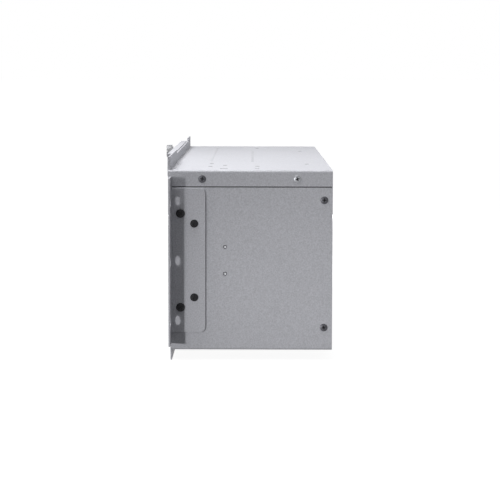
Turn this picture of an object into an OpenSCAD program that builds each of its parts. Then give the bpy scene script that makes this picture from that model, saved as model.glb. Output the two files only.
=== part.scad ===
// Media converter chassis: a shallow steel case for a 19-inch rack. Converters stand
// upright in the bays behind the front frame, a lock bar holds them in, and two power
// modules slide in from the rear. Millimetres. X runs across, Y from front to rear and
// Z up. The origin is the centre of the rack slots, on the rear face of the ears.

/* [Body] */
// Width of the body across its side faces
body_w = 440; // [432:1:444]
// Depth of the body from the lid's front edge to the rear face
body_d = 122; // [121:0.5:140]
// Height of the body without the lips above and below it
body_h = 134; // [133:0.5:146]
// Thickness of the sheet steel
sheet_t = 1.2; // [1:0.1:1.4]
// Outer radius of the bends along the long edges
bend_r = 1.6; // [1.5:0.1:2.2]
// Air between two sheets that lie against each other
sheet_gap = 0.2; // [0.15:0.05:0.3]
// Height of the lip that hangs below the floor's front edge
lower_lip_h = 8; // [5:0.5:12]
// How far the base's front edge lies behind the lid's
base_setback = 1.4; // [1:0.1:2]

/* [Lid] */
// Height of the lid's side flanges
lid_flange_h = 12; // [11:0.5:14]
// Open seam between the lid's side flanges and the base
seam_gap = 0.8; // [0.5:0.1:1.2]
// Height of the full part of the lip along the lid's front edge
lip_h = 9.8; // [8:0.2:12]
// Height of the cut-down part of that lip, behind the lock bar
lip_low_h = 6.8; // [6.6:0.1:7.2]
// Length of the full part of the lip on the right side
lip_near_len = 128; // [110:1:150]
// Diameter of the pressed marks on the lid
mark_d = 3.4; // [2.5:0.1:4.5]
// Depth of the pressed marks on the lid
mark_depth = 0.3; // [0.1:0.1:0.5]

/* [Rack ears] */
// Width of the rack panel across both ears
rack_panel_w = 482.6; // [482:0.1:483.4]
// Distance between the left and the right rows of rack slots
rack_slot_span = 465.1; // [464.6:0.1:465.6]
// Distance between one rack slot and the next in a row
rack_pitch = 44.45; // [44:0.05:45]
// Height of a rack slot
rack_slot_h = 6.8; // [6:0.1:7.4]
// Length of a rack slot from end to end
rack_slot_len = 10; // [8:0.5:11]
// Thickness of the ears
ear_t = 1.3; // [1:0.1:2]
// Height of the ears' front flange
ear_h = 124; // [112:1:130]
// Height of the ears' leg on the body's side
ear_leg_h = 107.3; // [100:0.1:112]
// Depth of the ears' leg from its front face
ear_leg_d = 26.7; // [25.5:0.1:30]
// Radius of the leg's rear corners
ear_corner_r = 4; // [2:0.5:6]
// How far the ears' front face lies behind the lid's front edge
ear_setback = 1; // [0.5:0.1:1.5]

/* [Converter bays] */
// Number of bays
bay_count = 10; // [8:1:11]
// Thickness of one converter
converter_w = 25; // [23:0.5:26]
// Depth of one converter
converter_d = 94; // [88:1:95]
// Side play of a converter between its guide ribs
bay_play = 0.3; // [0.2:0.1:0.6]
// Clear height between the two guide trays
bay_h = 78; // [76:0.5:80]
// Thickness of a guide rib
rib_t = 1.6; // [1.2:0.1:2]
// Height of a guide rib
rib_h = 4; // [3:0.5:5]
// Distance from mid-width to the middle of the bays, to the left
bays_shift = 28; // [20:1:32]
// Depth of the border over the front window
window_border_h = 2; // [1.5:0.5:4]

/* [Lock bar] */
// Depth of the lock bar's channel ahead of the lid
lock_d = 5.6; // [5:0.1:6.5]
// Height of the lock bar's top above the lid
lock_rise = 7.3; // [7.2:0.1:8]
// How far the lock bar reaches below the lid's top
lock_drop = 11; // [9:0.5:14]
// Thickness of the lock bar's sheet
lock_t = 1; // [0.8:0.1:1]
// Gap between the lock bar and the lid's lip
lock_gap = 0.3; // [0.2:0.1:0.5]
// How far the lock bar runs past the bays at each end
lock_overlap = 1.2; // [0.8:0.2:4]
// Diameter of the lock bar's thumbscrew
lock_knob_d = 10.7; // [9:0.1:12]
// Length of the thumbscrew's knurled head
lock_knob_len = 5.6; // [4:0.1:8]
// Travel of the lock bar as it is pulled off forwards
lock_travel = 20; // [10:1:30]

/* [Fasteners] */
// Radius of the screw shanks
screw_r = 1.5; // [1.4:0.05:1.5]
// Radial clearance of a shank in its threaded hole
thread_gap = 0.05; // [0.03:0.01:0.07]
// Radial clearance of a shank in a plain hole
hole_gap = 0.08; // [0.06:0.01:0.1]
// Length of the side screws under the head
screw_len = 6; // [4.5:0.5:8]
// Diameter of the lid screws' heads
lid_head_d = 5.6; // [5:0.1:6]
// Thickness of the lid screws' heads
lid_head_t = 0.7; // [0.5:0.1:1.2]
// Diameter of the ear screws' heads in the front pair
ear_head_d = 6.5; // [5.5:0.1:7]
// Diameter of the ear screws' heads in the rear pair
ear_small_head_d = 5.9; // [5:0.1:6.5]
// Thickness of the ear screws' heads
ear_head_t = 1.3; // [0.8:0.1:2]
// Diameter of the rear corner screws' heads
corner_head_d = 5.7; // [5:0.1:6.5]
// Width of a screw's cross recess
recess_w = 0.7; // [0.5:0.1:0.9]
// Diameter of the side rivets
rivet_d = 2.8; // [2.4:0.1:3.2]
// Distance between the two side rivets
rivet_pitch = 20; // [16:1:22]

/* [Power modules] */
// Width of a power module's case
psu_w = 84; // [80:1:86]
// Height of a power module's case
psu_h = 42; // [38:1:43]
// Depth of a power module's case inside the body
psu_d = 104; // [100:1:105]
// Sheet thickness of a power module
psu_t = 1; // [0.8:0.1:1.2]
// Width of a power module's rear plate
psu_plate_w = 104; // [102:1:106]
// Height of a power module's rear plate
psu_plate_h = 46; // [45:0.5:47]
// Running gap round a power module
psu_gap = 0.5; // [0.3:0.1:0.6]
// Diameter of the wire bail handle
bail_d = 3; // [2.5:0.1:3.2]
// Width of the bail across the middle of its arms
bail_w = 76; // [74:1:78]
// Length of the bail's arms
bail_len = 34; // [31:1:36]
// Diameter of the power modules' thumbscrews
psu_knob_d = 9; // [8:0.5:9.5]
// Length of the power modules' thumbscrew heads
psu_knob_len = 5; // [4:0.5:6]

/* [Fans] */
// Width of a fan's square frame
fan_w = 40; // [40:1:42]
// Depth of a fan's frame
fan_d = 10; // [9.5:0.5:10.5]
// Distance between the fans
fan_pitch = 92; // [70:1:94]
// Diameter of the guards' wire
guard_wire_d = 1.6; // [1.2:0.1:2]
// Number of fan blades
blade_count = 7; // [5:1:9]

/* [Boards] */
// Thickness of the circuit boards
board_t = 1.6; // [1.2:0.1:2]
// Outer diameter of a bay's power plug
plug_d = 5.5; // [4.5:0.1:6]
// Length of a bay's power plug
plug_len = 9.5; // [8:0.5:11]
// Depth of the block behind a bay's power plug
plug_block_d = 10; // [9:0.5:10.5]

/* [Hidden] */
$fn = 48;
front_y = -(ear_setback + ear_t);
rear_y = front_y + body_d;
base_front_y = front_y + base_setback;
half_w = body_w / 2;
top_z = body_h / 2;
floor_z = -top_z;
cut = 1;
// Faces inside the sheet, and the edges of the two upright panels between the side walls
inner_top_z = top_z - sheet_t;
inner_floor_z = floor_z + sheet_t;
inner_rear_y = rear_y - sheet_t;
seam_z = top_z - lid_flange_h - seam_gap;
panel_half_w = half_w - sheet_t - sheet_gap;
panel_upper_half_w = panel_half_w - sheet_t - sheet_gap;
panel_step_z = seam_z - sheet_t - sheet_gap;
frame_rear_y = base_front_y + sheet_t;
frame_flange_d = 24;
rear_flange_d = 13;
flange_z_margin = 6;
// Side screws: places measured from the lid's front edge, the top and the bottom
lid_screw_drop = 6.5;
lid_screw_front_setback = 25.3;
lid_screw_rear_setback = 95.8;
lid_screw_y = [front_y + lid_screw_front_setback, front_y + lid_screw_rear_setback];
ear_screw_front_setback = 9.2;
ear_screw_rear_setback = 19.35;
ear_screw_front_y = front_y + ear_screw_front_setback;
ear_screw_rear_y = front_y + ear_screw_rear_setback;
ear_screw_front_z = 35;
ear_screw_rear_z = 27.5;
corner_screw_margin = 6.2;
corner_screw_drop = 22.1;
corner_screw_rise = 16.9;
corner_screw_y = rear_y - corner_screw_margin;
corner_screw_z = [top_z - corner_screw_drop, floor_z + corner_screw_rise];
hole_r = screw_r + hole_gap;
thread_r = screw_r + thread_gap;
recess_depth = 0.5;
// Converter bays
bay_pitch = converter_w + rib_t + 2 * bay_play;
bays_w = bay_count * bay_pitch + rib_t;
bays_x0 = -bays_shift - bays_w / 2;
bays_x1 = bays_x0 + bays_w;
tray_end_y = base_front_y + converter_d;
tray_top_z = inner_top_z - sheet_t - bay_h;
tray_bottom_z = tray_top_z - sheet_t;
window_top_z = inner_top_z - sheet_t - window_border_h;
// Side brackets under the lower tray
bracket_d = 20;
bracket_setback = 32.2;
bracket_y0 = front_y + bracket_setback;
bracket_reach = 14;
bracket_drop = 5;
rivet_y = bracket_y0 + bracket_d / 2;
rivet_rise = 4.6;
rivet_z = [tray_bottom_z + rivet_rise, tray_bottom_z + rivet_rise + rivet_pitch];
bracket_top_z = rivet_z[1] + rivet_rise;
tray_screw_x = panel_half_w - sheet_t - bracket_reach / 2;
tray_screw_y = bracket_y0 + bracket_d / 2;
rivet_tail_d = 3.6;
rivet_tail_t = 0.9;
rivet_head_t = 0.25;
rivet_dimple_d = 1.6;
// Lock bar and its thumbscrew at mid-width
lock_x0 = bays_x0 - lock_overlap;
lock_x1 = bays_x1 + lock_overlap;
lock_front_y = front_y - lock_d;
lock_top_z = top_z + lock_rise;
lock_screw_z = lock_top_z - lock_t - hole_r - hole_gap / 2;
lock_screw_tip = 0.4;
knob_gap = 0.1;
knurl_count = 24;
knurl_w = 0.6;
knurl_depth = 0.3;
lip_gap = 1;
// Power modules
psu_floor_gap = 3.8;
psu_side_margin = 2;
psu_spacing = 2;
psu_z0 = inner_floor_z + psu_floor_gap;
// The modules are made lower where the tray over them comes down
psu_tray_air = 0.5;
psu_squeeze = min(0, tray_bottom_z - psu_tray_air - psu_z0 - psu_h);
case_h = psu_h + psu_squeeze;
plate_h = psu_plate_h + psu_squeeze;
bail_arm = bail_len + psu_squeeze;
psu_mid_z = psu_z0 + case_h / 2;
psu_front_y = rear_y - psu_d;
plate_y0 = rear_y + sheet_gap;
plate_y1 = plate_y0 + sheet_t;
psu_screw_len = 5;
rail_w = 6;
// Thumbscrews near the plate's ends, clear of the case and of the bail
bail_r = bail_d / 2;
plate_edge = 0.5;
knob_air = 0.5;
screw_near_plate_end = psu_plate_w / 2 - plate_edge - psu_knob_d / 2;
screw_beside_case = psu_w / 2 + psu_gap + thread_r + knob_air;
screw_beside_bail = bail_w / 2 + bail_r + knob_air + psu_knob_d / 2;
psu_screw_x = max(screw_near_plate_end, screw_beside_case, screw_beside_bail);
plate_w = psu_plate_w + 2 * (psu_screw_x - screw_near_plate_end);
psu_x = [for (i = [0, 1])
    -half_w + psu_side_margin + plate_w / 2 + i * (plate_w + psu_spacing)];
// Inlet, rocker switch and lamp stand in a row between the bail's arms
inlet_w = 27;
inlet_h = 20;
inlet_depth = 18;
inlet_flange = 1.8;
inlet_flange_t = 2;
inlet_wall = 2;
inlet_hollow = 16;
inlet_pin_w = 2;
inlet_pin_h = 4;
inlet_pin_len = 10.5;
inlet_pin_pitch = 7;
inlet_pin_step = 2;
fit_gap = 0.2;
rocker_w = 9;
rocker_half_h = 6.8;
rocker_end = 2.8;
rocker_mid = 1.4;
rocker_foot = 5;
rocker_foot_depth = 3;
rocker_gap = 0.9;
rocker_tilt = 10;
rocker_pivot_out = 0.6;
rocker_y = plate_y1 + rocker_pivot_out;
rocker_pin_r = 1.2;
rocker_pin_gap = 0.05;
rocker_pin_len = 1;
switch_wall = 2;
switch_depth = 7;
switch_flange = 1.2;
switch_flange_t = 1.4;
lamp_r = 1.5;
lamp_len = 4;
switch_half_w = rocker_w / 2 + fit_gap + switch_wall;
switch_half_h = rocker_half_h + rocker_gap + switch_wall;
row_inlet_w = inlet_w + 2 * inlet_flange;
row_switch_w = 2 * (switch_half_w + switch_flange);
row_w = bail_w - bail_d;
row_air = row_w - row_inlet_w - row_switch_w - 2 * lamp_r;
inlet_air_share = 0.05;
switch_air_share = 0.21;
lamp_air_share = 0.28;
inlet_x = -row_w / 2 + inlet_air_share * row_air + row_inlet_w / 2;
rocker_x = inlet_x + row_inlet_w / 2 + switch_air_share * row_air + row_switch_w / 2;
lamp_x = rocker_x + row_switch_w / 2 + lamp_air_share * row_air + lamp_r;
// Bail
bail_air = 0.6;
bail_y = plate_y1 + bail_r + bail_air;
bail_z = psu_mid_z + bail_arm / 2;
bail_pin_gap = 0.07;
bail_pin_len = 3.6;
lug_w = 4;
lug_h = 5.6;
lug_gap = 0.4;
lug_x0 = bail_w / 2 + bail_r + lug_gap;
// Inside a power module
psu_board_rise = 4;
psu_board_z = psu_z0 + psu_t + psu_board_rise;
psu_board_margin = 1.5;
post_r = 2;
cover_slot_count = 9;
// Power board behind the front frame, and its sockets
socket_w = 30;
socket_h = 12;
socket_len = 9;
socket_gap = 0.5;
blade_w = 6;
blade_t = 1;
blade_len = 7;
blade_pitch = 12;
blade_gap = 0.25;
blade_reach = blade_len - socket_gap;
power_board_y1 = psu_front_y - socket_gap - socket_len;
power_board_y0 = power_board_y1 - board_t;
power_board_margin = 4;
power_board_h = case_h - 2 * power_board_margin;
power_board_z0 = psu_mid_z - power_board_h / 2;
power_board_x0 = psu_x[0] - psu_w / 2 + psu_side_margin;
header_inset = 30;
header_margin = 9;
header_w = 14;
header_h = 8;
header_len = 7;
header_x = bays_x1 - header_inset;
power_board_x1 = header_x + header_w / 2 + header_margin;
spacer_inset = 5;
spacer_x = [power_board_x0 + spacer_inset, (power_board_x0 + power_board_x1) / 2,
    power_board_x1 - spacer_inset];
// Backplane, its plugs and standoffs
plug_rise = 14;
plug_z = tray_top_z + plug_rise;
plug_bore_r = 1.25;
plug_block_w = 11;
block_gap = 0.5;
backplane_y0 = tray_end_y + block_gap + plug_block_d;
backplane_y1 = backplane_y0 + board_t;
backplane_over = 6;
backplane_up = 12;
backplane_down = 12;
standoff_r = 2.5;
standoff_count = 4;
standoff_inset = 4;
standoff_x = [for (i = [0:standoff_count - 1])
    bays_x0 + bay_pitch * round(i * bay_count / (standoff_count - 1)) + rib_t / 2];
standoff_z = plug_z + backplane_up - standoff_inset;
board_head_d = 5.5;
board_head_t = 1.4;
header_rise = 8;
header_z = psu_mid_z + header_rise;
wire_d = 2.4;
wire_pitch = 4;
// Fans
fan_x = [for (i = [-1:1]) -bays_shift + i * fan_pitch];
fan_top_margin = 6.8;
fan_z = inner_top_z - fan_top_margin - fan_w / 2;
fan_y1 = inner_rear_y;
fan_y0 = fan_y1 - fan_d;
fan_wall = 1.5;
fan_bore_r = fan_w / 2 - fan_wall;
fan_screw_inset = 4;
fan_screw_pitch = fan_w - 2 * fan_screw_inset;
fan_back_t = 1.5;
fan_hub_r = 8;
fan_post_r = 2.2;
fan_post_gap = 0.5;
fan_shaft_r = 1;
fan_shaft_gap = 0.05;
fan_end_gap = 0.8;
fan_tip_gap = 0.8;
fan_cap_t = 1.4;
fan_strut_w = 3;
blade_sheet_t = 1;
blade_pitch_angle = 35;
guard_rings_share = [0.32, 0.62, 0.92];
eyelet_r = 2.4;
guard_head_d = 6.4;
// Vents in the front frame and the rear panel
vent_w = 3;
vent_pitch = 8;
vent_margin = 8;
vent_h_share = 0.6;
// Status lamps in the front frame
status_count = 3;
status_pitch = 8;
status_margin = 8;
status_rise = 12;
status_x0 = bays_x1 + status_margin;
status_z = floor_z + status_rise;
// Ground screw
ground_inset = 20;
ground_x = -half_w + ground_inset;
ground_r = 2;
ground_head_d = 8;
ground_head_t = 2.4;
washer_d = 9.5;
washer_t = 0.8;
// Places of the pressed marks: shares of the lid's width from the right and of its depth
mark_shares = [[0.061, 0.036], [0.205, 0.036], [0.225, 0.246], [0.123, 0.246], [0.155, 0.336],
    [0.055, 0.541], [0.13, 0.541], [0.889, 0.541], [0.207, 0.861], [0.745, 0.861]];
slot_mark_shares = [0.052, 0.336];
slot_mark_len = 5;

paint = "#b9bac0";
dark_metal = "#4c4d52";
bright_metal = "#c9ccd2";
board_green = "#2f6b45";

module block(x, y, z) {
    translate([x[0], y[0], z[0]]) cube([x[1] - x[0], y[1] - y[0], z[1] - z[0]]);
}

module rod_x(x, y, z, r) {
    translate([x[0], y, z]) rotate([0, 90, 0]) cylinder(h = x[1] - x[0], r = r);
}

module rod_y(x, y, z, r) {
    translate([x, y[0], z]) rotate([-90, 0, 0]) cylinder(h = y[1] - y[0], r = r);
}

module both_sides() {
    children();
    mirror([1, 0, 0]) children();
}

// A rectangle that stands on its flat edge, with both corners of the far edge round
module round_shoulders(w, h, r) {
    translate([-w / 2, 0]) square([w, h - r]);
    translate([-w / 2 + r, 0]) square([w - 2 * r, h]);
    for (s = [-1, 1]) translate([s * (w / 2 - r), h - r]) circle(r);
}

// A U of bent sheet, open at its flat edge
module bent_channel(w, h, r, t) {
    difference() {
        round_shoulders(w, h, r);
        translate([0, -cut]) round_shoulders(w - 2 * t, h - t + cut, r - t);
    }
}

// A pan head with a cross recess and its shank, along +X from the seat at the origin outwards
module side_screw(head_d, head_t, len) {
    difference() {
        rotate([0, 90, 0]) cylinder(h = head_t, d = head_d);
        for (a = [0, 90]) rotate([a, 0, 0])
            translate([head_t - recess_depth, -recess_w / 2, -head_d * 0.3])
                cube([recess_depth + cut, recess_w, head_d * 0.6]);
    }
    rotate([0, -90, 0]) cylinder(h = len, r = screw_r);
}

module ear_screw_places() {
    for (s = [-1, 1]) {
        translate([half_w + sheet_gap + ear_t, ear_screw_front_y, s * ear_screw_front_z])
            children(0);
        translate([half_w + sheet_gap + ear_t, ear_screw_rear_y, s * ear_screw_rear_z])
            children(1);
    }
}

module side_holes(r) {
    len = 2 * (sheet_t + sheet_gap) + ear_t + cut;
    for (s = [-1, 1]) {
        rod_x([half_w - len, half_w + len], ear_screw_front_y, s * ear_screw_front_z, r);
        rod_x([half_w - len, half_w + len], ear_screw_rear_y, s * ear_screw_rear_z, r);
    }
}

// The outline that the front frame and the rear panel share, in X and Z
module panel_outline() {
    z0 = inner_floor_z + sheet_gap;
    translate([-panel_half_w, z0]) square([2 * panel_half_w, panel_step_z - z0]);
    translate([-panel_upper_half_w, z0])
        square([2 * panel_upper_half_w, inner_top_z - sheet_gap - z0]);
}

module vents(x, z) {
    count = floor((x[1] - x[0] - vent_w) / vent_pitch);
    start = (x[0] + x[1] - count * vent_pitch) / 2;
    for (i = [0:count]) translate([start + i * vent_pitch - vent_w / 2, z[0]])
        square([vent_w, z[1] - z[0]]);
}

module upright_sheet(y0) {
    translate([0, y0 + sheet_t, 0]) rotate([90, 0, 0]) linear_extrude(sheet_t) children();
}

module base_pan() {
    color(paint) difference() {
        union() {
            translate([0, rear_y, seam_z]) rotate([90, 0, 0]) mirror([0, 1, 0])
                linear_extrude(rear_y - base_front_y)
                    bent_channel(body_w, seam_z - floor_z, bend_r, sheet_t);
            both_sides() {
                block([panel_half_w - sheet_t, half_w], [base_front_y, rear_y],
                    [seam_z - sheet_t, seam_z]);
                block([panel_half_w - sheet_t, panel_half_w], [base_front_y, rear_y],
                    [seam_z - sheet_t, inner_top_z - sheet_gap]);
            }
            block([-half_w + bend_r, half_w - bend_r], [base_front_y, base_front_y + sheet_t],
                [floor_z - lower_lip_h, floor_z + sheet_t / 2]);
        }
        both_sides() {
            side_holes(hole_r);
            for (y = lid_screw_y)
                rod_x([panel_half_w - sheet_t - cut, panel_half_w + cut], y,
                    top_z - lid_screw_drop, thread_r);
            for (z = corner_screw_z) rod_x([panel_half_w, half_w + cut], corner_screw_y, z, hole_r);
            for (z = rivet_z) rod_x([panel_half_w, half_w + cut], rivet_y, z,
                rivet_d / 2 + thread_gap);
        }
    }
}

module lid() {
    color(paint) difference() {
        union() {
            translate([0, rear_y, top_z - lid_flange_h]) rotate([90, 0, 0])
                linear_extrude(body_d) bent_channel(body_w, lid_flange_h, bend_r, sheet_t);
            lip([half_w - lip_near_len, half_w - bend_r], lip_h);
            lip([lock_x0 - lip_gap, half_w - lip_near_len], lip_low_h);
            lip([-half_w + bend_r, lock_x0 - lip_gap], lip_h);
        }
        both_sides() for (y = lid_screw_y)
            rod_x([half_w - sheet_t - cut, half_w + cut], y, top_z - lid_screw_drop, hole_r);
        rod_y(0, [front_y - cut, front_y + sheet_t + cut], lock_screw_z, thread_r);
        for (m = mark_shares)
            translate([half_w - m[0] * body_w, front_y + m[1] * body_d, top_z - mark_depth])
                cylinder(h = mark_depth + cut, d = mark_d);
        translate([half_w - slot_mark_shares[0] * body_w, front_y + slot_mark_shares[1] * body_d,
            top_z - mark_depth]) slot_mark();
    }
}

module lip(x, h) {
    block(x, [front_y, front_y + sheet_t], [top_z - sheet_t / 2, top_z + h]);
}

module slot_mark() {
    side = mark_d / 2;
    translate([-side / 2, -slot_mark_len / 2, 0])
        cube([side, slot_mark_len, mark_depth + cut]);
    for (s = [-1, 1]) translate([0, s * slot_mark_len / 2, 0])
        cylinder(h = mark_depth + cut, d = side);
}

module front_frame() {
    low_vents = [inner_floor_z + vent_margin, tray_bottom_z - vent_margin];
    high_vents = [tray_bottom_z + vent_margin, window_top_z - vent_margin];
    color(paint) difference() {
        union() {
            upright_sheet(base_front_y) difference() {
                panel_outline();
                translate([bays_x0, tray_top_z]) square([bays_w, window_top_z - tray_top_z]);
                vents([-panel_half_w + frame_flange_d, bays_x1 - vent_margin], low_vents);
                vents([bays_x1 + vent_margin, panel_half_w - vent_margin], high_vents);
                vents([-panel_half_w + vent_margin, bays_x0 - vent_margin], high_vents);
                for (i = [0:status_count - 1])
                    translate([status_x0 + i * status_pitch, status_z])
                        circle(lamp_r + hole_gap);
            }
            both_sides() block([panel_half_w - sheet_t, panel_half_w],
                [base_front_y, base_front_y + frame_flange_d],
                [inner_floor_z + flange_z_margin, panel_step_z]);
        }
        both_sides() side_holes(thread_r);
    }
}

module rear_panel() {
    color(paint) difference() {
        union() {
            upright_sheet(inner_rear_y) difference() {
                panel_outline();
                for (x = psu_x) {
                    translate([x - psu_w / 2 - psu_gap, psu_z0 - psu_gap])
                        square([psu_w + 2 * psu_gap, case_h + 2 * psu_gap]);
                    for (s = [-1, 1]) translate([x + s * psu_screw_x, psu_mid_z])
                        circle(thread_r);
                }
                for (x = fan_x) translate([x, fan_z]) {
                    circle(fan_bore_r);
                    for (a = [-1, 1], b = [-1, 1])
                        translate([a * fan_screw_pitch / 2, b * fan_screw_pitch / 2])
                            circle(hole_r);
                }
                for (x = standoff_x) translate([x, standoff_z]) circle(hole_r);
                translate([ground_x, fan_z]) circle(ground_r + thread_gap);
                vents([vent_margin, panel_half_w - frame_flange_d],
                    [inner_floor_z + vent_margin, tray_bottom_z - vent_margin]);
            }
            both_sides() block([panel_half_w - sheet_t, panel_half_w],
                [rear_y - rear_flange_d, rear_y],
                [inner_floor_z + flange_z_margin, panel_step_z]);
        }
        both_sides() for (z = corner_screw_z)
            rod_x([panel_half_w - sheet_t - cut, panel_half_w + cut], corner_screw_y, z, thread_r);
    }
}

module rack_ear() {
    x0 = half_w + sheet_gap;
    difference() {
        union() {
            block([x0, rack_panel_w / 2], [-ear_t, 0], [-ear_h / 2, ear_h / 2]);
            translate([x0, -ear_t, 0]) rotate([90, 0, 90]) linear_extrude(ear_t)
                rotate(-90) round_shoulders(ear_leg_h, ear_leg_d, ear_corner_r);
        }
        side_holes(hole_r);
        for (k = [-1:1]) translate([rack_slot_span / 2, 0, k * rack_pitch]) rack_slot();
    }
}

module rack_slot() {
    run = (rack_slot_len - rack_slot_h) / 2;
    for (s = [-1, 1])
        rod_y(s * run, [-ear_t - cut, cut], 0, rack_slot_h / 2);
    block([-run, run], [-ear_t - cut, cut], [-rack_slot_h / 2, rack_slot_h / 2]);
}

module rack_ear_left() {
    color(paint) mirror([1, 0, 0]) rack_ear();
}

module rack_ear_right() {
    color(paint) rack_ear();
}

module ear_screws() {
    color("#26262a") both_sides() ear_screw_places() {
        side_screw(ear_head_d, ear_head_t, screw_len);
        side_screw(ear_small_head_d, ear_head_t, screw_len);
    }
}

module lid_screws() {
    color(dark_metal) both_sides() for (y = lid_screw_y)
        translate([half_w, y, top_z - lid_screw_drop])
            side_screw(lid_head_d, lid_head_t, screw_len);
}

module rear_corner_screws() {
    color(dark_metal) both_sides() for (z = corner_screw_z)
        translate([half_w, corner_screw_y, z])
            side_screw(corner_head_d, lid_head_t, screw_len);
}

module side_rivets() {
    inner_x = panel_half_w - sheet_t;
    color(bright_metal) both_sides() for (z = rivet_z) difference() {
        union() {
            rod_x([inner_x - rivet_tail_t, half_w + rivet_head_t], rivet_y, z, rivet_d / 2);
            rod_x([inner_x - rivet_tail_t, inner_x], rivet_y, z, rivet_tail_d / 2);
        }
        rod_x([half_w - rivet_head_t, half_w + cut], rivet_y, z, rivet_dimple_d / 2);
    }
}

module side_brackets() {
    color(bright_metal) both_sides() difference() {
        union() {
            block([panel_half_w - sheet_t, panel_half_w], [bracket_y0, bracket_y0 + bracket_d],
                [tray_bottom_z - bracket_drop, bracket_top_z]);
            block([panel_half_w - bracket_reach, panel_half_w],
                [bracket_y0, bracket_y0 + bracket_d], [tray_bottom_z - sheet_t, tray_bottom_z]);
        }
        for (z = rivet_z)
            rod_x([panel_half_w - sheet_t - cut, panel_half_w + cut], rivet_y, z,
                rivet_d / 2 + thread_gap);
        translate([tray_screw_x, tray_screw_y, tray_bottom_z - sheet_t - cut])
            cylinder(h = sheet_t + 2 * cut, r = thread_r);
    }
}

module ribs(y, z) {
    for (i = [0:bay_count])
        block([bays_x0 + i * bay_pitch, bays_x0 + i * bay_pitch + rib_t], y, z);
}

module lower_guide_tray() {
    half = panel_half_w - sheet_t - sheet_gap;
    y = [frame_rear_y + sheet_gap, tray_end_y];
    color(paint) {
        difference() {
            block([-half, half], y, [tray_bottom_z, tray_top_z]);
            both_sides() translate([tray_screw_x, tray_screw_y, tray_bottom_z - cut])
                cylinder(h = sheet_t + 2 * cut, r = hole_r);
        }
        ribs(y, [tray_top_z + sheet_gap, tray_top_z + rib_h]);
    }
}

module upper_guide_tray() {
    y = [frame_rear_y + sheet_gap, tray_end_y];
    color(paint) {
        block([bays_x0 - backplane_over, bays_x1 + backplane_over], y,
            [inner_top_z - sheet_t, inner_top_z]);
        ribs(y, [inner_top_z - sheet_t - rib_h, inner_top_z - sheet_t - sheet_gap]);
    }
}

module tray_screws() {
    color(bright_metal) both_sides() translate([tray_screw_x, tray_screw_y, tray_top_z])
        rotate([0, -90, 0]) side_screw(board_head_d, board_head_t, screw_len);
}

module lock_bar() {
    y = [lock_front_y, front_y - lock_gap];
    z = [top_z - lock_drop, lock_top_z];
    color(paint) difference() {
        union() {
            block([lock_x0, lock_x1], [y[0], y[0] + lock_t], z);
            block([lock_x0, lock_x1], y, [z[1] - lock_t, z[1]]);
            block([lock_x0, lock_x1], y, [z[0], z[0] + lock_t]);
        }
        rod_y(0, [y[0] - cut, y[0] + lock_t + cut], lock_screw_z, hole_r);
    }
}

// A knurled head with its shank, along -Y from the seat at the origin
module thumbscrew(head_d, head_len, shank_len) {
    difference() {
        rod_y(0, [-head_len, 0], 0, head_d / 2);
        for (i = [0:knurl_count - 1]) rotate([0, i * 360 / knurl_count, 0])
            block([head_d / 2 - knurl_depth, head_d], [-head_len * 0.8, -head_len * 0.15],
                [-knurl_w / 2, knurl_w / 2]);
        block([-head_d * 0.35, head_d * 0.35], [-head_len - cut, -head_len + knurl_w],
            [-knurl_w / 2, knurl_w / 2]);
    }
    rod_y(0, [-head_len / 2, shank_len], 0, screw_r);
}

module lock_thumbscrew() {
    color(bright_metal) translate([0, lock_front_y - knob_gap, lock_screw_z])
        thumbscrew(lock_knob_d, lock_knob_len, lock_d + knob_gap + sheet_t - lock_screw_tip);
}

module backplane_board() {
    color(board_green) difference() {
        union() {
            block([bays_x0 - backplane_over, bays_x1 + backplane_over],
                [backplane_y0, backplane_y1], [plug_z - backplane_down, plug_z + backplane_up]);
            block([header_x - header_w, header_x + header_w], [backplane_y0, backplane_y1],
                [header_z - header_h, plug_z]);
        }
        for (x = standoff_x) rod_y(x, [backplane_y0 - cut, backplane_y1 + cut], standoff_z, hole_r);
    }
}

module each_bay() {
    for (i = [0:bay_count - 1])
        translate([bays_x0 + rib_t / 2 + (i + 0.5) * bay_pitch, 0, plug_z]) children();
}

module bay_plug_blocks() {
    half = plug_block_w / 2;
    color("#2b2b2e") each_bay() difference() {
        block([-half, half], [backplane_y0 - plug_block_d, backplane_y0], [-half, half]);
        rod_y(0, [backplane_y0 - plug_block_d - cut, backplane_y0 - plug_block_d / 2], 0,
            plug_d / 2 + thread_gap);
    }
}

module bay_plugs() {
    seat_y = backplane_y0 - plug_block_d;
    color(bright_metal) each_bay() difference() {
        rod_y(0, [seat_y - plug_len, seat_y + plug_block_d / 2], 0, plug_d / 2);
        rod_y(0, [seat_y - plug_len - cut, seat_y], 0, plug_bore_r);
    }
}

module backplane_standoffs() {
    color("#c7a04a") for (x = standoff_x) difference() {
        rod_y(x, [backplane_y1, inner_rear_y], standoff_z, standoff_r);
        rod_y(x, [backplane_y1 - cut, inner_rear_y + cut], standoff_z, thread_r);
    }
}

module backplane_screws() {
    len = board_t + sheet_t + screw_r;
    color(bright_metal) for (x = standoff_x) {
        translate([x, backplane_y0, standoff_z]) rotate([0, 0, -90])
            side_screw(board_head_d, board_head_t, len);
        translate([x, rear_y, standoff_z]) rotate([0, 0, 90])
            side_screw(board_head_d, board_head_t, len);
    }
}

module power_board() {
    color(board_green) difference() {
        block([power_board_x0, power_board_x1], [power_board_y0, power_board_y1],
            [power_board_z0, power_board_z0 + power_board_h]);
        power_board_holes(hole_r);
    }
}

module power_board_holes(r) {
    for (x = spacer_x, s = [0, 1])
        rod_y(x, [frame_rear_y - cut, power_board_y1 + cut],
            power_board_z0 + standoff_inset + s * (power_board_h - 2 * standoff_inset), r);
}

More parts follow.
